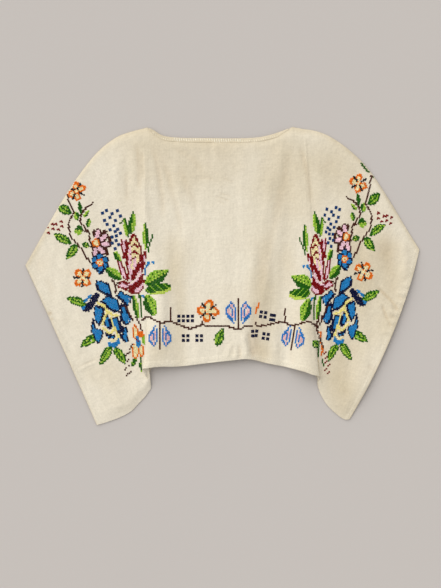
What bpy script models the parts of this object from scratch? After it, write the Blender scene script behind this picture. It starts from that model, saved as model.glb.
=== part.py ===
"""A cropped dolman top in cream linen, laid flat on a surface with its front upwards.

Front and back are each one panel, cut in one with their halves of the wide sleeves. They are sewn together
along the shoulders and over the sleeves, and below the arms. A narrow band finishes the boat neck. The front
rises in soft folds, and beside the body it doubles back under itself in one pleat on each side, where the
body's hem meets the lower edge of the sleeve.

Lengths are in millimetres and become metres where a mesh is made. Seen from above with the neck at the top,
+X runs to the right and +Y from the hem to the neck. +Z is up from the surface that it lies on.
"""

import bpy
import numpy as np

MM = 0.001

# Cloth
WALL = 1.2
SEAM_GAP = 0.3
BAND_WIDTH = 6.5
BAND_WALL = 1.6
BAND_GAP = 0.7  # from the band to its panel along the cloth, so that their slanted edges stay apart
FRONT_LEVEL = WALL + SEAM_GAP + WALL / 2  # middle of the front's wall where it lies on the back
BACK_HEM_RISE = 4.0  # the back's hem ends this far above the front's
BACK_INSET = 1.0  # and its other edges this far inside the front's
BACK_CUFF_INSET = 0.07  # in columns
LINEN_COLOUR = (0.80, 0.72, 0.56)
BINDING_COLOUR = (0.84, 0.77, 0.62)
CLOTH_ROUGHNESS = 0.9

# The front's lines from its upper edge down to its hem, from one cuff to the other. The fold shift is how far
# a line's foot moves sideways as the pleat closes.
COLUMNS = (
    # name, top x, top y, foot x, foot y, fold shift
    ("left cuff", -354.5, 18.0, -226.0, -269.0, 0.0),
    ("left forearm", -321.5, 76.5, -204.5, -262.5, 0.0),
    ("left elbow", -289.0, 133.0, -182.5, -254.0, 0.0),
    ("left upper sleeve", -256.5, 182.5, -164.5, -244.0, 0.0),
    ("left sleeve top", -224.0, 222.5, -150.5, -229.5, 0.0),
    ("left arm", -191.5, 248.0, -139.5, -218.0, 0.0),
    ("left shoulder", -164.5, 258.5, -132.5, -208.0, 3.5),
    ("left under fold", -145.0, 263.5, -128.5, -200.5, 9.0),
    ("left pleat", -139.5, 265.0, -135.0, -184.5, -2.5),
    ("left neck", -135.0, 266.0, -143.0, -168.5, -16.0),
    ("left crest", -125.0, 262.0, -134.0, -166.0, -14.5),
    ("left chest", -105.5, 251.0, -112.5, -163.5, -9.0),
    ("left hem", -73.0, 247.5, -74.5, -163.0, -2.0),
    ("left middle", -29.5, 247.0, -29.5, -157.5, 0.0),
    ("middle", 13.5, 246.5, 15.5, -152.5, 0.0),
    ("step", 44.0, 247.0, 46.0, -150.0, 0.0),
    ("right middle", 71.0, 249.5, 80.0, -157.5, 0.0),
    ("right chest", 98.0, 256.5, 114.5, -164.5, 0.0),
    ("right neck", 125.0, 267.0, 145.0, -172.0, 0.0),
    ("right crest", 134.0, 265.5, 161.0, -177.5, 2.0),
    ("right over fold", 141.5, 264.0, 173.0, -181.0, 8.5),
    ("right pleat", 146.5, 263.0, 172.0, -188.0, 1.0),
    ("right under fold", 152.0, 262.5, 171.0, -197.0, -6.5),
    ("right shoulder", 172.0, 258.5, 176.5, -213.5, -2.5),
    ("right arm", 197.0, 247.5, 186.5, -230.5, 0.0),
    ("right sleeve top", 229.5, 224.0, 197.0, -242.0, 0.0),
    ("right upper sleeve", 262.0, 191.5, 205.0, -249.0, 0.0),
    ("right elbow", 294.5, 144.0, 214.0, -256.0, 0.0),
    ("right forearm", 325.5, 92.5, 221.5, -259.0, 0.0),
    ("right cuff", 354.0, 46.5, 228.5, -258.5, 0.0),
)
NAMES = [column[0] for column in COLUMNS]
LAST = len(COLUMNS) - 1
LEFT_NECK = NAMES.index("left neck")
RIGHT_NECK = NAMES.index("right neck")
LEFT_FLAP_END = NAMES.index("left under fold")
RIGHT_FLAP_START = NAMES.index("right under fold")
PLEAT_START = 0.73  # share of a line's length above the pleats
CUFF_BOW = (0.8, 13.5)  # how far the left and the right cuff bend to the right of a straight line
CUFF_BOW_REACH = 9.0  # columns over which a cuff's bow dies away

# Soft folds of the front, each a line with a round rise on its left and another on its right
FOLDS = (
    # name, top x, top y, end x, end y, height, width on the left, width on the right
    ("left ridge", -112.0, 75.0, -119.5, -166.0, 11.0, 11.0, 27.0),
    ("plateau", 110.0, 165.0, 44.0, -150.0, 6.0, 105.0, 13.0),
    ("right ridge", 140.0, 70.0, 157.0, -177.0, 15.0, 30.0, 11.5),
    ("hem ridge", 98.0, -60.0, 90.0, -160.0, 3.0, 10.0, 12.0),
    ("left shoulder ridge", -160.0, 238.0, -148.0, 170.0, 2.5, 10.0, 12.0),
    ("right neck valley", 122.0, 240.0, 119.0, 130.0, -2.5, 14.0, 14.0),
    ("right sleeve valley", 291.0, 75.0, 314.0, -30.0, -2.5, 12.0, 16.0),
    ("left sleeve rise", -260.0, 120.0, -190.0, -180.0, 1.5, 40.0, 30.0),
)
CHEST_RISE = 5.5
SLEEVE_RISE = 2.5
BODY_STARTS = 3.0  # columns from a cuff to where its sleeve begins to rise to the chest's height
BODY_GROWS = 5.0  # columns over which it does
SHOULDER_ROUND = 20.0  # width of the round edge beside the neck
SLEEVE_ROUND = 9.0  # and along the sleeves
CUFF_FADE = 2.2  # columns over which the sleeve rises from its cuff
FLAP_FADE = 22.0  # width over which it rises from the flap's hem
FLAP_ENDS = 1.5  # columns over which that gives way to the body's open hem
BACK_FLAP_ENDS = 2.0  # the same on the back

# Mesh
COLUMN_STEPS = 2  # grid columns from one line to the next
ROW_DEPTHS = (0.0, 0.008, 0.02, 0.038, 0.062)  # first rows of the front, as shares of a line's length
ROWS_BELOW_FROM = 0.095
ROWS_BELOW = 23
BACK_ROWS = 7
BAND_ROWS = 3
NECK_END = 0.25  # the band's ends, in columns inside the neck's


def smooth(share):
    """Rises from 0 to 1 with level ends as share goes from 0 to 1."""
    share = np.clip(share, 0.0, 1.0)
    return share * share * (3.0 - 2.0 * share)


def curve_through(values, at, corners=()):
    """Catmull-Rom curve through one value a column, read at column numbers. It may turn at corners."""
    values = np.asarray(values, float)
    before = np.clip(np.floor(at).astype(int), 0, LAST - 1)
    share = at - before
    slopes = np.gradient(values)
    leaving = slopes.copy()
    arriving = slopes.copy()
    for corner in corners:
        leaving[corner] = values[corner + 1] - values[corner]
        arriving[corner] = values[corner] - values[corner - 1]
    start, end = values[before], values[before + 1]
    square, cube = share**2, share**3
    return (
        (2 * cube - 3 * square + 1) * start
        + (cube - 2 * square + share) * leaving[before]
        + (3 * square - 2 * cube) * end
        + (cube - square) * arriving[before + 1]
    )


def column_lines(at):
    """The top, the foot and the fold shift of the lines at these column numbers."""
    table = np.array([column[1:] for column in COLUMNS])
    necks = (LEFT_NECK, RIGHT_NECK)
    top = np.stack([curve_through(table[:, i], at, necks) for i in (0, 1)], axis=-1)
    foot = np.stack([curve_through(table[:, i], at) for i in (2, 3)], axis=-1)
    return top, foot, curve_through(table[:, 4], at)


def cuff_bow(at, share):
    """How far a point stands to the right of its straight line, most at the cuffs and at the line's middle."""
    left = CUFF_BOW[0] * smooth(1.0 - at / CUFF_BOW_REACH)
    right = CUFF_BOW[1] * smooth(1.0 - (LAST - at) / CUFF_BOW_REACH)
    return (left + right) * 4.0 * share * (1.0 - share)


def open_surface(at, share):
    """Points of the front before its pleats close, at column numbers and shares down their lines, and lengths."""
    top, foot, shift = column_lines(at)
    foot = foot - np.stack([shift, np.zeros_like(shift)], axis=-1)
    points = top + (foot - top) * share[..., None]
    points[..., 0] += cuff_bow(at, share)
    return points, np.linalg.norm(foot - top, axis=-1)


def fold_height(x, y):
    """Sum of the soft folds: each grows from its top to its end, and falls off as a bell to either side."""
    height = np.zeros_like(x)
    for _, top_x, top_y, end_x, end_y, rise, left, right in FOLDS:
        along_x, along_y = end_x - top_x, end_y - top_y
        length = np.hypot(along_x, along_y)
        along = ((x - top_x) * along_x + (y - top_y) * along_y) / length**2
        across = ((x - top_x) * -along_y + (y - top_y) * along_x) / length
        width = np.where(across < 0.0, left, right)
        height += rise * smooth(along) * np.exp(-((across / width) ** 2))
    return height


def front_lift(at, share, points, length):
    """Height of the front above where it would lie flat on the back."""
    depth = share * length
    from_cuff = np.minimum(at, LAST - at)
    in_body = smooth((from_cuff - BODY_STARTS) / BODY_GROWS)
    round_edge = SLEEVE_ROUND + (SHOULDER_ROUND - SLEEVE_ROUND) * in_body
    rise = SLEEVE_RISE + (CHEST_RISE - SLEEVE_RISE) * in_body
    left_flap = smooth((LEFT_FLAP_END - at) / FLAP_ENDS + 1.0)
    right_flap = smooth((at - RIGHT_FLAP_START) / FLAP_ENDS + 1.0)
    hem_fade = 1.0 - (left_flap + right_flap) * (1.0 - smooth((length - depth) / FLAP_FADE))
    edge_fade = np.sin(0.5 * np.pi * np.clip(depth / round_edge, 0.0, 1.0))
    cuff_fade = smooth(from_cuff / CUFF_FADE)
    lift = rise + fold_height(points[..., 0], points[..., 1])
    return np.maximum(lift, 0.0) * hem_fade * edge_fade * cuff_fade


def front_surface(at, share):
    """Points of the middle of the front's wall, with its folds raised and its pleats closed."""
    points, length = open_surface(at, share)
    lift = front_lift(at, share, points, length)
    closing = np.clip((share - PLEAT_START) / (1.0 - PLEAT_START), 0.0, 1.0)
    points[..., 0] += column_lines(at)[2] * closing
    return np.concatenate([points, (FRONT_LEVEL + lift)[..., None]], axis=-1)


def band_depth(at):
    """Depth of the neck band with its gap, growing from nothing at the two ends of the neck."""
    inside = np.minimum(at - LEFT_NECK, RIGHT_NECK - at)
    return (BAND_WIDTH + BAND_GAP) * np.clip(inside, 0.0, 1.0)


def share_between(at, across, top_depth, foot_gap):
    """Shares down the lines, as across goes from 0 at top_depth to 1 at foot_gap short of the foot."""
    length = open_surface(at, across)[1]
    return (top_depth + (length - top_depth - foot_gap) * across) / length


def front_grid(at):
    """Grid of the front panel, from the seam or the neck band down to the hem."""
    rows = np.concatenate([ROW_DEPTHS, np.linspace(ROWS_BELOW_FROM, 1.0, ROWS_BELOW)])
    at, across = np.meshgrid(at, rows)
    return front_surface(at, share_between(at, across, band_depth(at), 0.0))


def back_grid(at):
    """Grid of the back panel, flat, a little inside the front all round and short of its hem."""
    at, across = np.meshgrid(at, np.linspace(0.0, 1.0, BACK_ROWS))
    in_body = smooth((at - LEFT_FLAP_END) / BACK_FLAP_ENDS) * smooth((RIGHT_FLAP_START - at) / BACK_FLAP_ENDS)
    foot_gap = BACK_INSET + (BACK_HEM_RISE - BACK_INSET) * in_body
    share = share_between(at, across, np.maximum(band_depth(at), BACK_INSET), foot_gap)
    points = open_surface(np.clip(at, BACK_CUFF_INSET, LAST - BACK_CUFF_INSET), share)[0]
    return np.concatenate([points, np.full_like(points[..., :1], WALL)], axis=-1)


def band_grids(at):
    """Grids of the front and the back half of the neck band, each in line with its panel."""
    at, across = np.meshgrid(at, np.linspace(0.0, 1.0, BAND_ROWS))
    share = across * (band_depth(at) - BAND_GAP) / open_surface(at, across)[1]
    front = front_surface(at, share)
    front[..., 2] += BAND_WALL + SEAM_GAP + BAND_WALL / 2 - FRONT_LEVEL
    back = front.copy()
    back[..., 2] = BAND_WALL
    return front, back


def sheet_object(name, points, wall, offset, material, origin):
    """A node from a grid of points: a sheet of faces that a Solidify modifier makes a closed wall."""
    rows, columns = points.shape[:2]
    number = np.arange(rows * columns).reshape(rows, columns)
    corners = (number[1:, :-1], number[1:, 1:], number[:-1, 1:], number[:-1, :-1])
    faces = np.stack(corners, axis=-1).reshape(-1, 4)
    mesh = bpy.data.meshes.new(name)
    mesh.from_pydata((points.reshape(-1, 3) * MM).tolist(), [], faces.tolist())
    mesh.shade_smooth()
    mesh.materials.append(material)
    cloth = bpy.data.objects.new(name, mesh)
    cloth.parent = origin
    bpy.context.scene.collection.objects.link(cloth)
    solid = cloth.modifiers.new("Wall", "SOLIDIFY")
    solid.thickness = wall * MM
    solid.offset = offset
    return cloth


def cloth_material(name, colour):
    """A plain matt cloth finish."""
    material = bpy.data.materials.new(name)
    material.use_nodes = True
    shader = material.node_tree.nodes["Principled BSDF"]
    shader.inputs["Base Color"].default_value = (*colour, 1.0)
    shader.inputs["Roughness"].default_value = CLOTH_ROUGHNESS
    shader.inputs["Metallic"].default_value = 0.0
    return material


def centre_on(origin, pieces):
    """Moves the origin's empty so that the middle of the pieces' outline stands at X = 0 and Y = 0."""
    bpy.context.view_layer.update()
    graph = bpy.context.evaluated_depsgraph_get()
    corners = np.array([corner for piece in pieces for corner in piece.evaluated_get(graph).bound_box])
    middle = (corners.min(axis=0) + corners.max(axis=0)) / 2
    origin.location = (-middle[0], -middle[1], 0.0)


def main():
    for old in list(bpy.data.objects):
        bpy.data.objects.remove(old)
    origin = bpy.data.objects.new("crop_top", None)
    bpy.context.scene.collection.objects.link(origin)
    linen = cloth_material("linen", LINEN_COLOUR)
    binding = cloth_material("binding", BINDING_COLOUR)

    at = np.linspace(0, LAST, COLUMN_STEPS * LAST + 1)
    band_ends = [LEFT_NECK + NECK_END, RIGHT_NECK - NECK_END]
    band_at = np.union1d(at[(at > LEFT_NECK) & (at < RIGHT_NECK)], band_ends)
    band_front, band_back = band_grids(band_at)
    pieces = (
        sheet_object("back_panel", back_grid(at), WALL, -1.0, linen, origin),
        sheet_object("front_panel", front_grid(at), WALL, 0.0, linen, origin),
        sheet_object("neck_band_back", band_back, BAND_WALL, -1.0, binding, origin),
        sheet_object("neck_band_front", band_front, BAND_WALL, 0.0, binding, origin),
    )
    centre_on(origin, pieces)


main()
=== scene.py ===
# %% [markdown]
# # A cropped linen top, laid flat
#
# The real garment is cut from cream linen. Front and back are each one piece with their halves of the wide
# sleeves, and bouquets in cross-stitch grow up both sleeves, joined by a band above the hem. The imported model
# holds the plain cloth at its real size. This script lays finer cloth on the same form, sews the hems and
# the neck, and works every stitch of the flowers as thread.
#
# Lengths are in millimetres in the tables and become metres where a mesh is made.

import bpy
import numpy as np
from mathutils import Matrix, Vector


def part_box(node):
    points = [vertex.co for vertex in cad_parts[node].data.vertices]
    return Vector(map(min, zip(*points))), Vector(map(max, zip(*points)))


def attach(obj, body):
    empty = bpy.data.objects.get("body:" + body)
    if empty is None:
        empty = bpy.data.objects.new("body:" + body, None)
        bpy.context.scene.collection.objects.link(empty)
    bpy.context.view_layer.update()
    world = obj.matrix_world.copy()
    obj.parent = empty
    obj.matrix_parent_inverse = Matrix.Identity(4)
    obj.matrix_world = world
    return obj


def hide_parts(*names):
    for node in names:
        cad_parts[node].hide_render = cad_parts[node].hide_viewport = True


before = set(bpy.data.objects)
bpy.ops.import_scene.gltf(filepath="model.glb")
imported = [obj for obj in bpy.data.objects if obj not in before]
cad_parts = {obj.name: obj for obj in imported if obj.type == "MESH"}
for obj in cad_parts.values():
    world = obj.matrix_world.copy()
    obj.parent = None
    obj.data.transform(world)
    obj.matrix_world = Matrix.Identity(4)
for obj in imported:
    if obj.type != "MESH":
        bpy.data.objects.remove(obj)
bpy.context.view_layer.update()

MM = 0.001


# %% [markdown]
# ## The form that the cloth lies on
#
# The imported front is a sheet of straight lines, each running from the upper edge down to a hem, and
# soft folds that rise from it. Those lines and folds are repeated here with the same numbers, so that any
# point of the front can be worked out as finely as a piece needs it.

# %% The front's lines and folds
WALL = 1.2
SEAM_GAP = 0.3
FRONT_LEVEL = WALL + SEAM_GAP + WALL / 2
BAND_WIDTH = 6.5
BAND_WALL = 1.6
BAND_GAP = 0.7
BACK_HEM_RISE = 4.0
BACK_INSET = 1.0
BACK_CUFF_INSET = 0.07

COLUMNS = (
    # name, top x, top y, foot x, foot y, fold shift
    ("left cuff", -354.5, 18, -226, -269, 0),
    ("left forearm", -321.5, 76.5, -204.5, -262.5, 0),
    ("left elbow", -289, 133, -182.5, -254, 0),
    ("left upper sleeve", -256.5, 182.5, -164.5, -244, 0),
    ("left sleeve top", -224, 222.5, -150.5, -229.5, 0),
    ("left arm", -191.5, 248, -139.5, -218, 0),
    ("left shoulder", -164.5, 258.5, -132.5, -208, 3.5),
    ("left under fold", -145, 263.5, -128.5, -200.5, 9),
    ("left pleat", -139.5, 265, -135, -184.5, -2.5),
    ("left neck", -135, 266, -143, -168.5, -16),
    ("left crest", -125, 262, -134, -166, -14.5),
    ("left chest", -105.5, 251, -112.5, -163.5, -9),
    ("left hem", -73, 247.5, -74.5, -163, -2),
    ("left middle", -29.5, 247, -29.5, -157.5, 0),
    ("middle", 13.5, 246.5, 15.5, -152.5, 0),
    ("step", 44, 247, 46, -150, 0),
    ("right middle", 71, 249.5, 80, -157.5, 0),
    ("right chest", 98, 256.5, 114.5, -164.5, 0),
    ("right neck", 125, 267, 145, -172, 0),
    ("right crest", 134, 265.5, 161, -177.5, 2),
    ("right over fold", 141.5, 264, 173, -181, 8.5),
    ("right pleat", 146.5, 263, 172, -188, 1),
    ("right under fold", 152, 262.5, 171, -197, -6.5),
    ("right shoulder", 172, 258.5, 176.5, -213.5, -2.5),
    ("right arm", 197, 247.5, 186.5, -230.5, 0),
    ("right sleeve top", 229.5, 224, 197, -242, 0),
    ("right upper sleeve", 262, 191.5, 205, -249, 0),
    ("right elbow", 294.5, 144, 214, -256, 0),
    ("right forearm", 325.5, 92.5, 221.5, -259, 0),
    ("right cuff", 354, 46.5, 228.5, -258.5, 0),
)
NAMES = [column[0] for column in COLUMNS]
LAST = len(COLUMNS) - 1
LEFT_NECK = NAMES.index("left neck")
RIGHT_NECK = NAMES.index("right neck")
LEFT_FLAP_END = NAMES.index("left under fold")
RIGHT_FLAP_START = NAMES.index("right under fold")
PLEAT_START = 0.73  # share of a line's length above the pleats
CUFF_BOW = (0.8, 13.5)
CUFF_BOW_REACH = 9.0

FOLDS = (
    # name, top x, top y, end x, end y, height, width on the left, width on the right
    ("left ridge", -112, 75, -119.5, -166, 11, 11, 27),
    ("plateau", 110, 165, 44, -150, 6, 105, 13),
    ("right ridge", 140, 70, 157, -177, 15, 30, 11.5),
    ("hem ridge", 98, -60, 90, -160, 3, 10, 12),
    ("left shoulder ridge", -160, 238, -148, 170, 2.5, 10, 12),
    ("right neck valley", 122, 240, 119, 130, -2.5, 14, 14),
    ("right sleeve valley", 291, 75, 314, -30, -2.5, 12, 16),
    ("left sleeve rise", -260, 120, -190, -180, 1.5, 40, 30),
)
CHEST_RISE = 5.5
SLEEVE_RISE = 2.5
BODY_STARTS = 3.0
BODY_GROWS = 5.0
SHOULDER_ROUND = 20.0
SLEEVE_ROUND = 9.0
CUFF_FADE = 2.2
FLAP_FADE = 22.0
FLAP_ENDS = 1.5
BACK_FLAP_ENDS = 2.0
NECK_END = 0.25


def smooth(share):
    """Rises from 0 to 1 with level ends as share goes from 0 to 1: 3 s squared minus 2 s cubed."""
    share = np.clip(share, 0.0, 1.0)
    return share * share * (3.0 - 2.0 * share)


def bell(distance, width):
    """1 in the middle, falling to either side as e to the power of minus (distance / width) squared."""
    return np.exp(-((distance / width) ** 2))


def walked_along(points):
    """Distance walked along a line of points, at each of them."""
    return np.concatenate([[0.0], np.cumsum(np.linalg.norm(np.diff(points, axis=0), axis=-1))])


def curve_through(values, at, corners=()):
    """Catmull-Rom curve through one value a column, read at column numbers. It may turn at corners."""
    values = np.asarray(values, float)
    before = np.clip(np.floor(at).astype(int), 0, LAST - 1)
    share = at - before
    slopes = np.gradient(values)
    leaving = slopes.copy()
    arriving = slopes.copy()
    for corner in corners:
        leaving[corner] = values[corner + 1] - values[corner]
        arriving[corner] = values[corner] - values[corner - 1]
    start, end = values[before], values[before + 1]
    square, cube = share**2, share**3
    return (
        (2 * cube - 3 * square + 1) * start
        + (cube - 2 * square + share) * leaving[before]
        + (3 * square - 2 * cube) * end
        + (cube - square) * arriving[before + 1]
    )


def column_lines(at):
    """The top, the foot and the fold shift of the lines at these column numbers."""
    table = np.array([column[1:] for column in COLUMNS])
    necks = (LEFT_NECK, RIGHT_NECK)
    top = np.stack([curve_through(table[:, i], at, necks) for i in (0, 1)], axis=-1)
    foot = np.stack([curve_through(table[:, i], at) for i in (2, 3)], axis=-1)
    return top, foot, curve_through(table[:, 4], at)


def cuff_bow(at, share):
    """How far a point stands right of its straight line: 4 s (1 - s), most at the cuffs."""
    left = CUFF_BOW[0] * smooth(1.0 - at / CUFF_BOW_REACH)
    right = CUFF_BOW[1] * smooth(1.0 - (LAST - at) / CUFF_BOW_REACH)
    return (left + right) * 4.0 * share * (1.0 - share)


def open_surface(at, share):
    """Points of the front before its pleats close, in the plane, and the lengths of their lines."""
    top, foot, shift = column_lines(at)
    foot = foot - np.stack([shift, np.zeros_like(shift)], axis=-1)
    points = top + (foot - top) * share[..., None]
    points[..., 0] += cuff_bow(at, share)
    return points, np.linalg.norm(foot - top, axis=-1)


def beside_line(x, y, start_x, start_y, end_x, end_y):
    """Where places stand beside a line: as a share of its length, and how far to its left."""
    along_x, along_y = end_x - start_x, end_y - start_y
    length = np.hypot(along_x, along_y)
    along = ((x - start_x) * along_x + (y - start_y) * along_y) / length**2
    return along, ((x - start_x) * -along_y + (y - start_y) * along_x) / length


def fold_height(x, y):
    """Sum of the soft folds: each grows from its top to its end, and falls off as a bell to either side."""
    height = np.zeros_like(x)
    for _, top_x, top_y, end_x, end_y, rise, left, right in FOLDS:
        along, across = beside_line(x, y, top_x, top_y, end_x, end_y)
        height += rise * smooth(along) * bell(across, np.where(across < 0.0, left, right))
    return height


def front_lift(at, share, points, length):
    """Height of the front above where it would lie flat on the back."""
    depth = share * length
    from_cuff = np.minimum(at, LAST - at)
    in_body = smooth((from_cuff - BODY_STARTS) / BODY_GROWS)
    round_edge = SLEEVE_ROUND + (SHOULDER_ROUND - SLEEVE_ROUND) * in_body
    rise = SLEEVE_RISE + (CHEST_RISE - SLEEVE_RISE) * in_body
    left_flap = smooth((LEFT_FLAP_END - at) / FLAP_ENDS + 1.0)
    right_flap = smooth((at - RIGHT_FLAP_START) / FLAP_ENDS + 1.0)
    hem_fade = 1.0 - (left_flap + right_flap) * (1.0 - smooth((length - depth) / FLAP_FADE))
    edge_fade = np.sin(0.5 * np.pi * np.clip(depth / round_edge, 0.0, 1.0))
    cuff_fade = smooth(from_cuff / CUFF_FADE)
    lift = rise + fold_height(points[..., 0], points[..., 1])
    return np.maximum(lift, 0.0) * hem_fade * edge_fade * cuff_fade


def front_surface(at, share):
    """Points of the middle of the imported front's wall, with its folds raised and its pleats closed."""
    points, length = open_surface(at, share)
    lift = front_lift(at, share, points, length)
    closing = np.clip((share - PLEAT_START) / (1.0 - PLEAT_START), 0.0, 1.0)
    points[..., 0] += column_lines(at)[2] * closing
    return np.concatenate([points, (FRONT_LEVEL + lift)[..., None]], axis=-1)


def band_depth(at):
    """Depth of the neck band with its gap, growing from nothing at the two ends of the neck."""
    inside = np.minimum(at - LEFT_NECK, RIGHT_NECK - at)
    return (BAND_WIDTH + BAND_GAP) * np.clip(inside, 0.0, 1.0)


def middle_of_frame():
    """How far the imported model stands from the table's zero: middle of its box minus middle of a grid."""
    at, share = np.meshgrid(np.linspace(0, LAST, 2 * LAST + 1), np.linspace(0.0, 1.0, 60))
    length = open_surface(at, share)[1]
    points = front_surface(at, np.maximum(share, band_depth(at) / length)).reshape(-1, 3)
    low, high = (np.array(corner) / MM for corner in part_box("front_panel"))
    return ((low + high) / 2 - (points.min(axis=0) + points.max(axis=0)) / 2)[:2]


SHIFT = middle_of_frame()
print("the packed model is shifted by", SHIFT.round(2), "mm")

# %% [markdown]
# ## The camera, the floor and the light
#
# The garment was photographed from straight above, on a plain surface, with soft light from the upper left.
# One step of the picture is 1.8 mm on the cloth. A long lens far above keeps that scale the same all over,
# and the Standard view keeps the measured colours as they are.

# %% Camera
PICTURE_MIDDLE = (-3.6, -33.3)  # of the picture, in the table's millimetres
PICTURE_HEIGHT = 1058.4
LENS = 85.0
SENSOR = 36.0

scene = bpy.context.scene
camera_data = bpy.data.cameras.new("camera")
camera_data.sensor_fit = "VERTICAL"
camera_data.sensor_height = SENSOR
camera_data.lens = LENS
camera = bpy.data.objects.new("camera", camera_data)
camera_height = PICTURE_HEIGHT * LENS / SENSOR
camera.location = (*((np.array(PICTURE_MIDDLE) + SHIFT) * MM), camera_height * MM)
scene.collection.objects.link(camera)
scene.camera = camera
print("the camera looks down from", round(camera_height), "mm")


# %% Materials begin with a shader and its nodes
def plug(socket, source):
    """Gives a socket a constant, or what another node or its output brings."""
    if isinstance(source, bpy.types.Node):
        source = source.outputs[0]
    if isinstance(source, bpy.types.NodeSocket):
        socket.id_data.links.new(source, socket)
    else:
        socket.default_value = source


def new_material(name, colour, roughness):
    """A Principled shader of one colour and roughness, and the function that adds nodes to it."""
    material = bpy.data.materials.new(name)
    material.use_nodes = True
    tree = material.node_tree
    shader = tree.nodes["Principled BSDF"]
    for key, value in (("Base Color", (*colour, 1.0)), ("Roughness", roughness), ("Metallic", 0.0)):
        shader.inputs[key].default_value = value

    def add(kind, *sources, **settings):
        """A node whose first sockets take the sources; settings name its properties and other sockets."""
        node = tree.nodes.new("ShaderNode" + kind)
        for socket, source in zip(node.inputs, sources):
            plug(socket, source)
        for key, value in settings.items():
            if hasattr(node, key):
                setattr(node, key, value)
            else:
                plug(node.inputs[key.replace("_", " ")], value)
        return node

    return material, shader, add


def drifting_tone(add, place, scale, detail, low, high, start=0.0, end=1.0):
    """A tone that drifts over the surface: noise, whose values from start to end become low to high."""
    noise = add("TexNoise", place, Scale=scale, Detail=detail)
    return add("MapRange", noise, start, end, low, high)


def multiplied(add, factor, first, second):
    """The first colour times the second, as far as factor says."""
    mix = add("Mix", factor, data_type="RGBA", blend_type="MULTIPLY")
    plug(mix.inputs[6], first)
    plug(mix.inputs[7], second)
    return mix.outputs[2]


def linear(red, green, blue):
    """The light that a screen colour of 0 to 255 stands for, by the sRGB curve."""
    share = np.array([red, green, blue]) / 255.0
    light = np.where(share <= 0.04045, share / 12.92, ((share + 0.055) / 1.055) ** 2.4)
    return tuple(float(value) for value in light)


# %% Floor
FLOOR_SIZE = 6.0
FLOOR_LEVEL = -0.0002
FLOOR_COLOUR = linear(202, 195, 189)

floor_material, shader, add = new_material("floor_paper", FLOOR_COLOUR, 0.9)
tone = drifting_tone(add, add("TexCoord").outputs["Object"], 2.0, 3.0, 0.99, 1.01)
plug(shader.inputs["Base Color"], multiplied(add, 1.0, (*FLOOR_COLOUR, 1.0), tone))

floor_mesh = bpy.data.meshes.new("floor")
half = FLOOR_SIZE / 2
floor_corners = [(x * half, y * half, FLOOR_LEVEL) for x, y in ((-1, -1), (1, -1), (1, 1), (-1, 1))]
floor_mesh.from_pydata(floor_corners, [], [(0, 1, 2, 3)])
floor_mesh.materials.append(floor_material)
floor = bpy.data.objects.new("floor", floor_mesh)
scene.collection.objects.link(floor)

# %% Light
SUN_FROM = (-1.0, 1.15, 1.15)  # towards the light: upper left, rather low
SUN_STRENGTH = 2.05
SUN_WIDTH = 80.0  # degrees that it fills, so that its shadows are soft
SKY_STRENGTH = 0.56

sun_data = bpy.data.lights.new("window", "SUN")
sun_data.energy = SUN_STRENGTH
sun_data.angle = float(np.radians(SUN_WIDTH))
sun = bpy.data.objects.new("window", sun_data)
sun.location = SUN_FROM
scene.collection.objects.link(sun)


def aim(thing, target):
    """Turns a light so that its own -Z points at the target."""
    direction = np.array(target) - np.array(thing.location)
    across = np.hypot(direction[0], direction[1])
    tilt = np.arctan2(across, -direction[2])
    heading = np.arctan2(direction[0], direction[1])
    thing.rotation_euler = (float(tilt), 0.0, float(-heading))


aim(sun, (0.0, 0.0, 0.0))
world = bpy.data.worlds.new("room")
world.use_nodes = True
world.node_tree.nodes["Background"].inputs["Color"].default_value = (1.0, 1.0, 1.0, 1.0)
world.node_tree.nodes["Background"].inputs["Strength"].default_value = SKY_STRENGTH
scene.world = world
scene.view_settings.view_transform = "Standard"

# %% [markdown]
# ## Cloth as a shell with two faces
#
# Linen is thin, but a hem is folded over and thicker. A Solidify modifier gives one thickness everywhere, so
# the shell is worked out here instead: a grid of points for the middle of the cloth, each moved half of its
# own thickness to either side along the surface's normal, and a rim that closes the edges.


# %% A shell from a grid
def normals_of(points):
    """Unit normals of a grid of points: the cross product of its two directions."""
    down = np.gradient(points, axis=0)
    across = np.gradient(points, axis=1)
    normal = np.cross(down, across)
    return normal / np.maximum(np.linalg.norm(normal, axis=-1, keepdims=True), 1e-9)


def grid_faces(number):
    """Quads between neighbouring points of a grid of point numbers."""
    corners = (number[:-1, :-1], number[1:, :-1], number[1:, 1:], number[:-1, 1:])
    return np.stack(corners, axis=-1).reshape(-1, 4)


def rim_faces(top, bottom):
    """Quads that join the edge of the upper face to the edge of the lower one, all round."""
    def loop(number):
        return np.concatenate([number[0, :-1], number[:-1, -1], number[-1, :0:-1], number[:0:-1, 0]])
    upper, lower = loop(top), loop(bottom)
    return np.stack([upper, np.roll(upper, -1), np.roll(lower, -1), lower], axis=-1)


def piece_from(name, points, faces, material, uv_maps=(), attributes=()):
    """A piece of the garment from points in millimetres and quads, with its UV maps and point attributes."""
    mesh = bpy.data.meshes.new(name)
    placed = points.copy()
    placed[:, :2] += SHIFT
    mesh.vertices.add(len(placed))
    mesh.vertices.foreach_set("co", (placed * MM).ravel())
    mesh.loops.add(faces.size)
    mesh.loops.foreach_set("vertex_index", faces.ravel())
    mesh.polygons.add(len(faces))
    mesh.polygons.foreach_set("loop_start", np.arange(len(faces)) * faces.shape[1])
    for uv_name, uv in uv_maps:
        layer = mesh.uv_layers.new(name=uv_name)
        layer.data.foreach_set("uv", (uv[faces.ravel()] * MM).ravel())
    for key, values in attributes:
        mesh.attributes.new(key, "FLOAT", "POINT").data.foreach_set("value", values.ravel())
    mesh.update(calc_edges=True)
    mesh.validate()
    mesh.shade_smooth()
    mesh.materials.append(material)
    piece = bpy.data.objects.new(name, mesh)
    scene.collection.objects.link(piece)
    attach(piece, "root")
    return piece


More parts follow.
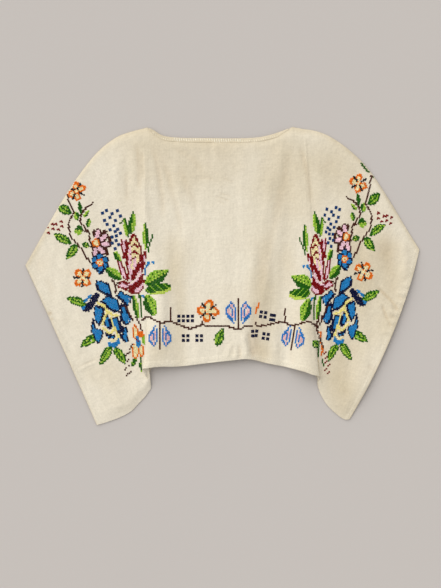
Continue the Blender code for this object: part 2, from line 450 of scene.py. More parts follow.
def shell(name, middle, thickness, material, uv_maps, attributes):
    """A closed cloth: the grid moved half its thickness up and down along its normals, and a rim between."""
    rows, columns = middle.shape[:2]
    half_wall = normals_of(middle) * (thickness / 2)[..., None]
    up = np.where(half_wall[..., 2:].mean() > 0.0, 1.0, -1.0)
    points = np.concatenate([(middle + half_wall * side).reshape(-1, 3) for side in (up, -up)])
    top = np.arange(rows * columns).reshape(rows, columns)
    bottom = top + rows * columns
    faces = np.concatenate([grid_faces(top), grid_faces(bottom)[:, ::-1], rim_faces(bottom, top)])
    uv_maps = [(key, np.tile(uv.reshape(-1, 2), (2, 1))) for key, uv in uv_maps]
    attributes = [(key, np.tile(values.ravel(), 2)) for key, values in attributes]
    piece = piece_from(name, points, faces, material, uv_maps, attributes)
    print(name, "has", 2 * len(faces), "triangles")
    return piece

# %% [markdown]
# ## Linen
#
# Linen is woven from flax yarn of uneven thickness, so its surface shows fine crossed threads, thicker slubs
# that run on for a few centimetres, and soft streaks of tone along both. Old linen yellows unevenly. All of
# it has to follow the cloth, also where a sleeve lies turned against the body, so the pattern reads UV maps
# in real millimetres: one in line with the body's grain and one in line with the sleeves'. A point attribute
# blends from one to the other, and others bring the yellowing, the stains and the painted shade that are
# worked out with the shape.


# %% Woven cloth
THREAD_SPACING = 0.9  # of the weave, in millimetres
STREAKS = ((330.0, 55.0, 0.55), (50.0, 300.0, 0.45), (75.0, 10.0, 0.45))  # per metre across, along; strength
FLECKS = 0.045
# The linen is multiplied towards this tint where it has yellowed and where shade is painted on it.
YELLOW_AND_SHADE_TINT = (0.82, 0.77, 0.67)
# And towards this brown where it is stained and where shade is painted in the creases.
STAIN_AND_SHADE_BROWN = (0.62, 0.47, 0.30)


def weave_and_streaks(add, uv_name):
    """Nodes for one direction of the grain: the weave's height, and a tone that streaks along the threads."""
    uv = add("UVMap", uv_map=uv_name)
    waves = []
    for bands in ("X", "Y"):
        spacing = 2.0 * np.pi / (20.0 * THREAD_SPACING * MM)
        wave = add("TexWave", uv, spacing, 1.5, 1.0, wave_type="BANDS", bands_direction=bands)
        waves.append(wave.outputs["Fac"])
    streak = None
    for across, along, reach in STREAKS:
        stretched = add("Mapping", uv, Scale=(across, along, 1.0))
        part = add("Math", add("TexNoise", stretched, Scale=1.0, Detail=3.0), reach, operation="MULTIPLY")
        streak = part if streak is None else add("Math", streak, part, operation="ADD")
    return add("Math", *waves, operation="MAXIMUM"), streak


def by_sleeve(add, sleeve, on_body, on_sleeve):
    """The value along the body's grain, passing to the value along the sleeves' grain."""
    mix = add("Mix", sleeve, data_type="FLOAT")
    plug(mix.inputs["A"], on_body)
    plug(mix.inputs["B"], on_sleeve)
    return mix


def linen_material(name, colour, streak_depth):
    """Matt woven linen: streaked and speckled tone, yellowing, stains and painted shade from attributes, and
    weave in bump.
    """
    material, shader, add = new_material(name, colour, 0.88)
    place = add("TexCoord").outputs["Object"]
    sleeve, age_and_shade_input, stain_and_shade = (
        add("Attribute", attribute_name=key).outputs["Fac"] for key in ("sleeve", "age_and_shade", "stain_and_shade")
    )
    body_weave, body_streak = weave_and_streaks(add, "body_grain")
    sleeve_weave, sleeve_streak = weave_and_streaks(add, "sleeve_grain")
    weave = by_sleeve(add, sleeve, body_weave, sleeve_weave)
    streak = by_sleeve(add, sleeve, body_streak, sleeve_streak)
    tone = add("MapRange", streak, 0.55, 0.9, 1.0 - streak_depth, 1.0 + streak_depth)
    flecks = drifting_tone(add, place, 340.0, 3.0, 1.0 - FLECKS, 1.0 + FLECKS, 0.3, 0.7)
    woven = multiplied(add, 1.0, (*colour, 1.0), add("Math", tone, flecks, operation="MULTIPLY"))
    patches = drifting_tone(add, place, 14.0, 5.0, -0.14, 0.18, 0.35, 0.7)
    # The yellowing attribute also carries painted shade, and the stain attribute the painted shade of the
    # creases.
    age_and_shade = add("Math", patches, age_and_shade_input, operation="ADD", use_clamp=True)
    aged_and_shaded = multiplied(add, age_and_shade, woven, (*YELLOW_AND_SHADE_TINT, 1.0))
    plug(shader.inputs["Base Color"], multiplied(add, stain_and_shade, aged_and_shaded, (*STAIN_AND_SHADE_BROWN, 1.0)))

    crumple = add("TexNoise", place, Scale=120.0, Detail=4.0)
    bump = add("Bump", Strength=0.75, Distance=0.0014, Height=crumple)
    bump = add("Bump", Strength=0.35, Distance=0.0002, Height=weave, Normal=bump)
    bump = add("Bump", Strength=0.5, Distance=0.0004, Height=streak, Normal=bump)
    plug(shader.inputs["Normal"], bump)
    shader.inputs["Sheen Weight"].default_value = 0.12
    shader.inputs["Sheen Roughness"].default_value = 0.6
    shader.inputs["Specular IOR Level"].default_value = 0.2
    return material


linen = linen_material("linen_cloth", linear(236, 226, 205), 0.05)

# %% [markdown]
# ## The front
#
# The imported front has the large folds. What linen keeps besides are small things: puckers where a hem was
# pressed, short creases that point away from a tight place, and an uneven rumple that is nowhere quite the
# same. Each crease is a line with a bell across it, fading at both ends, and it may bend like a bow. The
# hems are the panel's own cloth turned in, so a strip along the edge stands a little higher and thicker.

# %% Creases of the front
CREASES = (
    # start x, start y, end x, end y, bow, height, width
    # puckers and step of the hem
    (9, -148, 20, -118, 2, 2, 2.6),
    (22, -150, 24, -126, -1.5, 1.8, 2.4),
    (31, -151, 28, -122, -2, -1.6, 2.6),
    (43, -148, 33, -104, -4, 2.6, 3),
    (55, -150, 47, -98, 0, -2.4, 4),
    (58, -152, 62, -40, 2, -2.6, 8),
    (98, -141, 97, -116, 0.5, 1.2, 2.8),
    (-40, -152, -52, -95, 2, 0.9, 5),
    (128, -164, 122, -110, 2, -1, 5),
    # pressed arcs on the chest
    (-9, 147, 18, 139, 1.5, -1, 2),
    (-13, 140.5, 14, 131.5, 2, -1.2, 2),
    (-11, 133.5, 6, 126, 1.5, -0.8, 1.9),
    (0, 174, 22, 166, 1, -0.9, 2),
    (-50, 171, -12, 172, 3, -0.8, 2),
    (-46, 177, -16, 178, 2.5, -0.4, 1.6),
    (20, 188, 46, 191, 1, 0.5, 2),
    # drags from the left of the neck
    (-92, 232, -84, 120, 5, 0.9, 7),
    (-129, 240, -108, 92, 7, -1.5, 5),
    (-122, 236, -74, 62, 9, -1.3, 6),
    (-112, 232, -42, 96, 10, -0.9, 7),
    (-98, 232, -30, 178, 8, -0.8, 6),
    # left shoulder and arm
    (-155, 238, -150, 150, 3, -2, 3.6),
    (-146, 226, -141, 168, 1, -1.3, 3),
    (-163, 228, -161, 140, 1, 1.1, 4),
    (-172, 190, -170, 128, -1.5, -1.1, 3.4),
    # long drags down the body
    (120, 236, 56, -62, 4, -1.2, 9),
    (96, 226, 40, -40, 4, 1, 8),
    (-60, 95, -70, -30, -6, 1, 9),
    (-12, 90, -6, -60, 5, 0.7, 10),
    (78, 110, 64, 0, -4, -1.1, 10),
    # both shoulders
    (108, 238, 100, 150, -3, 0.9, 8),
    (150, 236, 178, 130, 6, 1, 9),
    (138, 238, 158, 120, 5, -1.4, 5),
    (-176, 226, -200, 120, -6, 0.8, 9),
    # right sleeve
    (292, 62, 306, -44, 3, -0.8, 13),
    (262, 80, 270, -20, 3, 1.6, 14),
    (322, 66, 328, -10, 3, 2.8, 10),
    # pinches at the right elbow
    (274, -19, 317, -62, 1.5, -3, 2.6),
    (276, -28, 310, -63, 1.5, 1.5, 3),
    (286, -50, 306, -96, -2, -2.4, 2.6),
    # puckers of the right cuff
    (320, -17, 335, -22, 1, 1.9, 2.4),
    (314, -29, 330, -36, -1, 2.3, 2.8),
    (309, -46, 323, -53, 1, 2.2, 2.6),
    (300, -64, 316, -72, -1, 2.5, 3),
    (294, -81, 309, -88, 1, 2, 3),
    (287, -98, 300, -104, -1, 1.3, 2.8),
    (313, -38, 327, -45, 1, -1.8, 2.6),
    (303, -55, 320, -62, -1, -1.9, 3),
    (298, -73, 312, -79, 1, -1.6, 2.6),
    # lower right sleeve
    (259, -160, 276, -176, 0, -0.9, 3),
    # left sleeve
    (-264, -168, -224, -150, 0, -1.2, 2),
    (-266, -172, -222, -153, 0, 0.8, 3.4),
    (-318, -2, -304, -36, 2, -0.8, 6),
    (-256, -40, -262, -150, 4, 0.7, 9),
    (-206, -180, -196, -250, -3, 0.8, 8),
    (-150, -226, -172, -252, 2, 0.9, 6),
)
RUMPLE = (
    # wavelength across, wavelength along, height, phase
    (61.0, 170.0, 0.26, 0.4),
    (37.0, 113.0, 0.16, 2.1),
    (23.0, 71.0, 0.11, 4.4),
    (118.0, 83.0, 0.24, 5.2),
    (17.0, 29.0, 0.06, 1.3),
)
CREASE_END = 0.22  # share of a crease over which it rises from nothing
# Painted shade in the creases' hollows grows darker with their depth.
CREASE_SHADE = 0.10  # for each millimetre of depth
SHADE_FULL_DEPTH = 2.6  # depth past which a crease's painted shade grows no darker
# Darkening along the top edge: yellowing of a handled edge, and painted shade where the cloth rounds away from
# the light.
TOP_WEAR_AND_SHADE = 0.75
TOP_WEAR_AND_SHADE_REACH = 9.0
CUFF_WEAR = 0.5
CUFF_WEAR_REACH = 3.0


def crease_height(x, y):
    """Sum of creases: a bell across a line that bows aside by 4 s (1 - s), fading in and out at its ends."""
    height = np.zeros_like(x)
    for start_x, start_y, end_x, end_y, bow, rise, width in CREASES:
        along, across = beside_line(x, y, start_x, start_y, end_x, end_y)
        inside = np.clip(along, 0.0, 1.0)
        shape = smooth(inside / CREASE_END) * smooth((1.0 - inside) / CREASE_END)
        height += rise * shape * bell(across - bow * 4.0 * inside * (1.0 - inside), width)
    return height


def rumple_height(x, y):
    """Uneven rumple: crossed waves whose phases wander with each other's, so that none repeats evenly."""
    height = np.zeros_like(x)
    for across, along, rise, phase in RUMPLE:
        wander = 1.7 * np.sin(y / along + 2.0 * phase) + 0.9 * np.sin((x + y) / (1.9 * along))
        height += rise * np.sin(2.0 * np.pi * x / across + phase + wander)
    return height


# %% The front as finely as it is needed
CLOTH_WALL = 0.7
HEM_WALL = 1.5
BODY_HEM = 10.5  # depth of the turned strips
CUFF_HEM = 8.0
HEM_STEP = 1.6  # width over which the strip's extra cloth shows through
EDGE_TUCK = 0.55  # how far a sewn edge of the front comes down to the back
EDGE_TUCK_REACH = 2.5
CUFF_OPENS = (1.5, 5.0)  # how far the front's cuff stands off the back, on the left and on the right
CUFF_OPENS_OVER = 55.0
CUFF_OPENS_FROM = 70.0  # from the seams at its two ends
FLAT_AT_SEAMS = 14.0  # width beside a seam over which creases grow
DEEPEST_DIP = 0.35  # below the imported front's lowest level, so that no crease reaches the back's cloth
STITCH_LINE = 1.4  # distance from a strip's inner edge to the row of stitches that holds it
STITCH_DENT = 0.25
DENT_REACH = 0.9
EDGE_THICKNESS = 0.4  # share of the wall that is left at an open edge
EDGE_ROUND = 0.9
FAR = 1e3  # stands for no such edge
STEP = 1e-3  # of a column or of a line's length, for slopes


def slopes(surface, at, share):
    """How a surface moves for one column and for one whole line, from points a little to either side."""
    low_at, high_at = np.maximum(at - STEP, 0.0), np.minimum(at + STEP, LAST)
    low_share, high_share = np.maximum(share - STEP, 0.0), np.minimum(share + STEP, 1.0)
    by_at = (surface(high_at, share) - surface(low_at, share)) / (high_at - low_at)[..., None]
    by_share = (surface(at, high_share) - surface(at, low_share)) / (high_share - low_share)[..., None]
    return by_at, by_share


def edge_distances(at, share):
    """Distances of points from the nearer cuff, the top and the foot, along the open cloth."""
    length = open_surface(at, share)[1]
    by_at, by_share = slopes(lambda a, s: open_surface(a, s)[0], at, share)
    line = by_share / np.linalg.norm(by_share, axis=-1, keepdims=True)
    column = np.abs(by_at[..., 0] * line[..., 1] - by_at[..., 1] * line[..., 0])
    return np.minimum(at, LAST - at) * column, share * length, (1.0 - share) * length


def hem_strength(at):
    """1 on the body's open hem and 0 on the seams below the sleeves."""
    return smooth(at - LEFT_FLAP_END) * smooth(RIGHT_FLAP_START - at)


def turned_strip(from_edge, depth):
    """1 on the strip of cloth that is turned in along an edge, falling to 0 at its inner edge."""
    return 1.0 - smooth((from_edge - depth) / HEM_STEP + 0.5)


def strips(at, from_cuff, from_foot):
    """1 on the turned strips of the hem and the cuffs."""
    return np.maximum(hem_strength(at) * turned_strip(from_foot, BODY_HEM), turned_strip(from_cuff, CUFF_HEM))


def fine_front(at, share):
    """Middle of the front's cloth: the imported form, its creases and rumple, its hems and its sewn edges."""
    points = front_surface(at, share)
    open_points = open_surface(at, share)[0]
    from_cuff, from_top, from_foot = edge_distances(at, share)
    nearest = np.minimum(np.minimum(from_cuff, from_top), from_foot)
    relief = crease_height(points[..., 0], points[..., 1])
    relief = relief + rumple_height(open_points[..., 0], open_points[..., 1])
    seam = 1.0 - hem_strength(at)
    in_neck = np.clip(np.minimum(at - LEFT_NECK, RIGHT_NECK - at), 0.0, 1.0)
    tuck = (1.0 - in_neck) * bell(from_top, EDGE_TUCK_REACH) + seam * bell(from_foot, EDGE_TUCK_REACH)
    at_seams = np.minimum(np.where(seam > 0.5, from_foot, FAR), from_top)
    free = smooth(at_seams / FLAT_AT_SEAMS) * smooth(nearest / 4.0 + 0.25)
    hems = (HEM_WALL - CLOTH_WALL) / 2 * 0.6 * strips(at, from_cuff, from_foot)
    dents = STITCH_DENT * np.maximum(
        hem_strength(at) * bell(from_foot - BODY_HEM + STITCH_LINE, DENT_REACH),
        bell(from_cuff - CUFF_HEM + STITCH_LINE, DENT_REACH),
    )
    relief = np.maximum(relief * free, FRONT_LEVEL - DEEPEST_DIP - points[..., 2])
    points[..., 2] += relief + hems - dents - EDGE_TUCK * np.clip(tuck, 0.0, 1.0)
    opening = np.where(at < LAST / 2, *CUFF_OPENS)
    between_seams = smooth(from_top / CUFF_OPENS_FROM) * smooth(from_foot / CUFF_OPENS_FROM)
    points[..., 2] += opening * smooth(1.0 - from_cuff / CUFF_OPENS_OVER) * between_seams
    return points


def front_thickness(at, share):
    """Thickness of the front's cloth: one wall, more on the turned strips, and less at open edges."""
    from_cuff, _, from_foot = edge_distances(at, share)
    wall = CLOTH_WALL + (HEM_WALL - CLOTH_WALL) * strips(at, from_cuff, from_foot)
    open_edge = np.minimum(from_cuff, np.where(hem_strength(at) > 0.5, from_foot, FAR))
    return wall * np.sqrt(np.clip(EDGE_THICKNESS**2 + open_edge / EDGE_ROUND, 0.0, 1.0))


def even_columns(count):
    """Column numbers that stand evenly apart across the middle of the front."""
    at = np.linspace(0, LAST, 40 * LAST + 1)
    walked = walked_along(front_surface(at, np.full_like(at, 0.5)))
    return np.interp(np.linspace(0.0, walked[-1], count), walked, at)


COLUMNS_APART = 0.03


def columns_with(count, extra):
    """Even columns and some more, without the even ones that would stand too near to these."""
    even = even_columns(count)
    apart = np.abs(even[:, None] - np.array(extra)).min(axis=1) > COLUMNS_APART
    return np.sort(np.concatenate([even[apart], extra]))


FRONT_COLUMNS = 262
FRONT_ROWS = 152  # between those that crowd at the edges
EDGE_ROWS = (0.0, 0.35, 0.9, 1.8, 3.0, 4.5, 6.5)
HEM_ROWS = (0.0, 0.35, 0.9, 2.0, 4.0, 6.2, 7.8, 8.5, 9.2, 9.9, 10.6, 11.4, 12.6, 14.5)
CUFF_STEPS = (0.0, 0.03, 0.08)


def rows_at(at, start, top_rows, foot_rows, count):
    """Shares down the lines at depths that crowd at the top and at the foot and are even between."""
    length = open_surface(at, np.zeros_like(at))[1]
    top = start + np.array(top_rows)[:, None] * np.ones_like(at)
    foot = length - np.array(foot_rows)[::-1, None] * np.ones_like(at)
    between = np.linspace(0.0, 1.0, count + 2)[1:-1, None]
    middle = top[-1] + (foot[0] - top[-1]) * between
    return np.concatenate([top, middle, foot]) / length


GRAIN_TURN_LEFT = np.radians(26.0)
GRAIN_TURN_RIGHT = np.radians(-21.0)
SLEEVE_GRAIN_ENDS = 4.0  # columns from a cuff where it starts to pass to the body's, over as many more


def turned(points, angle):
    """Points of the plane turned clockwise by an angle, so that a pattern on them turns the other way."""
    x, y = points[..., 0], points[..., 1]
    return np.stack([x * np.cos(angle) + y * np.sin(angle), y * np.cos(angle) - x * np.sin(angle)], axis=-1)


STAIN_AND_SHADE_SPOTS = (
    # name, x, y, radius, strength
    ("left cuff spot", -310, -68, 3.4, 0.55),
    ("left cuff spot below", -306, -78, 2.4, 0.35),
    ("left elbow haze", -322, 22, 16, 0.08),
    # painted shade in the hollow of the right sleeve
    ("right sleeve haze", 290, 44, 26, 0.16),
    ("right cuff haze", 262, -170, 22, 0.08),
    ("hem haze", 66, -140, 18, 0.1),
    ("neck haze", -10, 232, 40, 0.06),
)


def stain_and_shade_spot_at(x, y):
    """Brown of the old stains, with painted shade in the right sleeve's hollow: the strongest of some soft
    round spots.
    """
    spots = []
    for _, spot_x, spot_y, radius, strength in STAIN_AND_SHADE_SPOTS:
        spots.append(strength * bell(np.hypot(x - spot_x, y - spot_y), radius))
    return np.max(spots, axis=0)


# Yellowing of the old linen, and painted shade: the rows of the right chest, shoulder, sleeve and cuff darken
# the side turned from the light along with its yellowing, and those beside the step, the ridges, the left
# valley and the right sleeve's hollow paint the shade of the relief.
AGED_AND_SHADED = (
    # name, x, y, reach across, reach up, strength
    ("right chest", 112, 165, 62, 80, 0.66),
    ("right of the hem step", 71, -134, 15, 28, 0.72),
    ("right ridge top", 116, 34, 18, 44, 0.42),
    ("right cuff", 301, -88, 24, 32, 0.6),
    ("right of the step", 72, -34, 24, 105, 0.68),
    ("right sleeve hollow", 292, 34, 22, 44, 0.6),
    ("right shoulder", 195, 195, 60, 60, 0.7),
    ("right sleeve", 245, -10, 44, 130, 0.95),
    ("right lower sleeve", 212, -190, 34, 90, 0.95),
    ("right forearm", 312, -10, 40, 66, 0.62),
    ("right ridge", 146, -95, 22, 70, 0.5),
    ("along the neck", -40, 246, 130, 34, 0.75),
    ("chest", -50, 180, 80, 44, 0.55),
    ("left valley", -76, -70, 14, 95, 0.6),
    ("left ridge", -90, 10, 16, 60, 0.65),
    ("left hem", -118, -136, 30, 34, 0.55),
    ("left shoulder", -152, 205, 34, 60, 0.5),
    ("left lower sleeve", -214, -160, 34, 50, 0.32),
    ("left forearm", -250, 20, 40, 60, 0.18),
)


def crease_shade_at(x, y):
    """Painted shade in the hollows of the creases, darker by their depth."""
    return CREASE_SHADE * np.clip(-crease_height(x, y), 0.0, SHADE_FULL_DEPTH)


def edge_wear_and_shade(at, share):
    """Yellowing along the sewn and folded edges, which are handled most, with painted shade along the top edge
    where the cloth rounds away from the light: bells across each edge.
    """
    from_cuff, from_top, _ = edge_distances(at, share)
    return np.maximum(TOP_WEAR_AND_SHADE * bell(from_top, TOP_WEAR_AND_SHADE_REACH), CUFF_WEAR * bell(from_cuff, CUFF_WEAR_REACH))


def together(*layers):
    """Several layers of stain, yellowing and painted shade, each laid over what the others left clean."""
    clean = 1.0
    for layer in layers:
        clean = clean * (1.0 - layer)
    return 1.0 - clean


def age_and_shade_at(x, y):
    """How far the linen has yellowed, with painted shade on the side turned from the light and beside the
    folds: soft oval patches that add up, each filling what is left of white.
    """
    fresh = np.ones_like(x)
    for _, patch_x, patch_y, across, up, strength in AGED_AND_SHADED:
        fresh *= 1.0 - strength * bell(np.hypot((x - patch_x) / across, (y - patch_y) / up), 1.0)
    return 1.0 - fresh


def grain_maps(at, points):
    """The two UV maps and the share of the sleeves' grain."""
    on_left = points[..., :1] < 0.0
    sleeve_points = np.where(on_left, turned(points, GRAIN_TURN_LEFT), turned(points, GRAIN_TURN_RIGHT))
    from_cuff = np.minimum(at, LAST - at)
    sleeve = 1.0 - smooth((from_cuff - SLEEVE_GRAIN_ENDS) / SLEEVE_GRAIN_ENDS)
    return [("body_grain", points), ("sleeve_grain", sleeve_points)], sleeve


cuff_columns = (*CUFF_STEPS, *(LAST - np.array(CUFF_STEPS)))
front_at = columns_with(FRONT_COLUMNS, [LEFT_NECK, RIGHT_NECK, *cuff_columns])
front_share = rows_at(front_at, band_depth(front_at), EDGE_ROWS, HEM_ROWS, FRONT_ROWS)
front_at = np.broadcast_to(front_at, front_share.shape)
front_middle = fine_front(front_at, front_share)
front_open = open_surface(front_at, front_share)[0]
uv_maps, sleeve = grain_maps(front_at, front_open)
front_x, front_y = front_middle[..., 0], front_middle[..., 1]
# Stains with the painted shade of the creases, and yellowing with the painted shade of the relief and of the
# top edge.
stain_and_shade = together(stain_and_shade_spot_at(front_x, front_y), crease_shade_at(front_x, front_y))
age_and_shade = together(age_and_shade_at(front_x, front_y), edge_wear_and_shade(front_at, front_share))
front = shell(
    "front_cloth", front_middle, front_thickness(front_at, front_share), linen, uv_maps,
    [("sleeve", sleeve), ("stain_and_shade", stain_and_shade), ("age_and_shade", age_and_shade)],
)
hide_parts("front_panel")


def area_of(points):
    """Area of a grid of points, from the cross products of its quads' diagonals."""
    first = points[1:, 1:] - points[:-1, :-1]
    second = points[1:, :-1] - points[:-1, 1:]
    return float(0.5 * np.linalg.norm(np.cross(first, second), axis=-1).sum())


def flat_of(points):
    """A flat grid's points with a third coordinate of zero."""
    return np.concatenate([points, np.zeros_like(points[..., :1])], axis=-1)


front_area = area_of(flat_of(front_open))
front_cut = np.ptp(front_open, axis=(0, 1))
print("the front is cut", front_cut.round(), "mm, with", round(front_area / 1e6, 4), "square metres")

# %% [markdown]
# ## The back
#
# The back lies under the front, a little inside it all round. Only its edges ever show, and its underside
# rests flat, so it gets the same cloth with a few soft creases and no sharp detail.

# %% The back as a shell
BACK_WALL = 0.9
BACK_HEM_WALL = 1.15
BACK_COLUMNS = 120
BACK_ROWS = 40
BACK_RUMPLE = 0.35
BACK_FLAT_AT_SEAMS = 30.0


def back_surface(at, share):
    """Middle of the back's cloth, nearly flat, with the front's long drags as faint rises."""
    open_points = open_surface(np.clip(at, BACK_CUFF_INSET, LAST - BACK_CUFF_INSET), share)[0]
    _, from_top, from_foot = edge_distances(at, share)
    free = smooth(np.minimum(from_top, from_foot) / BACK_FLAT_AT_SEAMS)
    rumple = rumple_height(1.3 * open_points[..., 0] + 40.0, open_points[..., 1])
    rise = BACK_RUMPLE * np.clip(rumple, 0.0, 1.0) * free
    return np.concatenate([open_points, (BACK_WALL / 2 + rise)[..., None]], axis=-1)


back_at = columns_with(BACK_COLUMNS, [0, LEFT_NECK, RIGHT_NECK, LAST])
from_flaps = (back_at - LEFT_FLAP_END, RIGHT_FLAP_START - back_at)
in_body = smooth(from_flaps[0] / BACK_FLAP_ENDS) * smooth(from_flaps[1] / BACK_FLAP_ENDS)
back_gap = BACK_INSET + (BACK_HEM_RISE - BACK_INSET) * in_body
back_length = open_surface(back_at, np.zeros_like(back_at))[1]
back_top = np.maximum(band_depth(back_at), BACK_INSET) / back_length
back_rows = rows_at(back_at, 0.0, EDGE_ROWS, HEM_ROWS, BACK_ROWS)
back_share = back_top + (1.0 - back_gap / back_length - back_top) * back_rows
back_at = np.broadcast_to(back_at, back_share.shape)
back_middle = back_surface(back_at, back_share)
uv_maps, sleeve = grain_maps(back_at, back_middle[..., :2])
back_strip = hem_strength(back_at) * turned_strip((1.0 - back_share) * back_length - BACK_HEM_RISE, BODY_HEM)
back = shell(
    "back_cloth", back_middle, BACK_WALL + (BACK_HEM_WALL - BACK_WALL) * back_strip, linen, uv_maps,
    [
        ("sleeve", sleeve),
        ("stain_and_shade", 0.3 * stain_and_shade_spot_at(back_middle[..., 0] + 30.0, back_middle[..., 1])),
        ("age_and_shade", 0.8 * age_and_shade_at(back_middle[..., 0], back_middle[..., 1])),
    ],
)
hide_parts("back_panel")
back_area = area_of(flat_of(back_middle[..., :2]))

# %% [markdown]
# ## The neck band and the sewing thread
#
# A narrow strip of linen is folded over the neck's edge and held down by slanted stitches over its lower
# edge. A band is the same shell as the cloth with a thickness that swells from each edge to its middle. A
# stitch that shows is a short piece of thread that comes out of the cloth, arches over it and goes back in.
# The same small shape, a bent tube of four rings, makes every stitch on this garment, so it stays light.

# %% Neck bands
BAND_SWELL = 1.0  # thickness of the band in its middle
BAND_ROWS = 11
BAND_COLUMNS = 300
SCALLOP = 0.16  # how far the band rises between its stitches
BAND_STITCH_SPACING = 4.2
BAND_OVERLAP = 0.8  # how far the band reaches over the edge of the front's cloth
BAND_AGE = 0.6
BAND_LIFT = BAND_WALL + SEAM_GAP + BAND_WALL / 2 - FRONT_LEVEL  # its middle's height above the front's
NECK_COLUMNS = np.linspace(LEFT_NECK, RIGHT_NECK, 800)


def band_edge_walk(at):
    """Distance walked along the neck's edge at these column numbers."""
    return np.interp(at, NECK_COLUMNS, walked_along(column_lines(NECK_COLUMNS)[0]))


def band_shell(name, back_half):
    """Half of the neck band: rows across its width, thick in the middle and thin at its edges."""
    at = np.linspace(LEFT_NECK + NECK_END, RIGHT_NECK - NECK_END, BAND_COLUMNS)
    across = 0.5 - 0.5 * np.cos(np.linspace(0.0, np.pi, BAND_ROWS))
    at, across = np.meshgrid(at, across)
    share = across * (band_depth(at) + BAND_OVERLAP) / open_surface(at, across)[1]
    middle = front_surface(at, share)
    scallop = SCALLOP * np.sin(np.pi * band_edge_walk(at) / BAND_STITCH_SPACING) ** 2
    if back_half:
        middle[..., 2] = BAND_WALL / 2
        scallop = 0.3 * scallop
    else:
        middle[..., 2] += BAND_LIFT
    thickness = BAND_SWELL * np.sqrt(np.clip(1.0 - np.abs(2.0 * across - 1.0) ** 5, 0.03, 1.0)) + scallop
    uv = np.stack([band_edge_walk(at), across * BAND_WIDTH], axis=-1)
    zero = np.zeros_like(at)
    age_and_shade = together(BAND_AGE, age_and_shade_at(middle[..., 0], middle[..., 1]))
    piece = shell(
        name, middle, thickness, binding, [("body_grain", uv), ("sleeve_grain", uv)],
        [("sleeve", zero), ("stain_and_shade", zero), ("age_and_shade", age_and_shade)],
    )
    return piece


binding = linen_material("binding_cloth", linear(234, 224, 203), 0.03)
band_front = band_shell("neck_binding_front", False)
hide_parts("neck_band_front")
band_back = band_shell("neck_binding_back", True)
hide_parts("neck_band_back")


# %% One stitch
RINGS_AT = (0.0, 0.28, 0.72, 1.0)
RING_HEIGHTS = (-0.25, 1.0, 1.0, -0.25)
RING_WIDTHS = (0.75, 1.0, 1.0, 0.75)


def unit(vectors):
    """Vectors of length one."""
    return vectors / np.maximum(np.linalg.norm(vectors, axis=-1, keepdims=True), 1e-9)


def strands(starts, ends, normals, half_width, half_height, arch):
    """Bent tubes from starts to ends: four rings of four points on a path that arches along the normals."""
    side = unit(np.cross(normals, ends - starts))
    rings = []
    for share, height, width in zip(RINGS_AT, RING_HEIGHTS, RING_WIDTHS):
        centre = starts + (ends - starts) * share + normals * (arch * height)[:, None]
        sideways = side * (half_width * width)[:, None]
        upwards = normals * (half_height * width)[:, None]
        ring = (centre + sideways, centre + upwards, centre - sideways, centre - upwards)
        rings.append(np.stack(ring, axis=1))
    points = np.stack(rings, axis=1).reshape(-1, 3)
    number = np.arange(16).reshape(4, 4)
    around = np.roll(number, -1, axis=1)
    sides = np.stack([number[:-1], around[:-1], around[1:], number[1:]], axis=-1).reshape(-1, 4)
    faces = np.concatenate([sides, number[:1, ::-1], number[-1:]])
    faces = (faces + 16 * np.arange(len(starts))[:, None, None]).reshape(-1, 4)
    length = np.linalg.norm(ends - starts, axis=-1)
    along = length[:, None, None] * np.array(RINGS_AT)[None, :, None] * np.ones((1, 1, 4))
    round_it = np.arange(4)[None, None, :] * np.ones_like(along)
    uv = np.stack([along, round_it], axis=-1).reshape(-1, 2)
    return points, faces, uv


def join_strands(parts):
    """Several lots of strands as one: points, faces and UVs, with the faces' numbers moved on."""
    points, faces, uvs, count = [], [], [], 0
    for part_points, part_faces, part_uv in parts:
        points.append(part_points)
        faces.append(part_faces + count)
        uvs.append(part_uv)
        count += len(part_points)
    return np.concatenate(points), np.concatenate(faces), np.concatenate(uvs)


def thread_material(name, colour, sheen):
    """Stranded cotton: its plies show as a slanted ripple along each stitch, and its tone varies a little."""
    material, shader, add = new_material(name, colour, 0.7)
    ply = add("TexWave", add("UVMap", uv_map="thread"), 420.0, wave_type="BANDS", bands_direction="DIAGONAL")
    plug(shader.inputs["Normal"], add("Bump", Strength=0.4, Distance=0.0001, Height=ply.outputs["Fac"]))
    tone = drifting_tone(add, add("TexCoord").outputs["Object"], 260.0, 2.0, 0.82, 1.15, 0.3, 0.7)
    plug(shader.inputs["Base Color"], multiplied(add, 1.0, (*colour, 1.0), tone))
    shader.inputs["Sheen Weight"].default_value = sheen
    shader.inputs["Specular IOR Level"].default_value = 0.12
    return material


def normals_at(surface, at, share):
    """Upward unit normals of a surface at single points."""
    by_at, by_share = slopes(surface, at, share)
    normal = unit(np.cross(by_share, by_at))
    return normal * np.where(normal[..., 2:] < 0.0, -1.0, 1.0)


# %% Stitches along the hems and the neck
SEWING_WIDTH = 0.32  # half the width of the sewing thread
SEWING_HEIGHT = 0.2
SEWING_ARCH = 0.22
HEM_ROWS_OF_STITCHES = (4.6, BODY_HEM - STITCH_LINE)
RUN_LENGTH = 2.1
RUN_GAP = 1.5
WHIPPED_MIDDLE = -28.0  # stretch of the neck whose stitches pass over the whole band
WHIPPED_REACH = 72.0
WHIP_SLANT = 1.1
WHIP_TOPS = (0.9, BAND_WIDTH - 2.6)  # where they start below the neck's edge: on that stretch, and elsewhere
WHIP_FOOT = 1.9  # how far below the band they end
WHIP_WIDTHS = (0.8, 0.36)
WHIP_HEIGHT = 0.24
WHIP_ARCH = 0.45


def top_of_front(at, share):
    """Points on the upper face of the front's cloth, and its normals there."""
    normal = normals_at(fine_front, at, share)
    return fine_front(at, share) + normal * (front_thickness(at, share) / 2)[..., None], normal


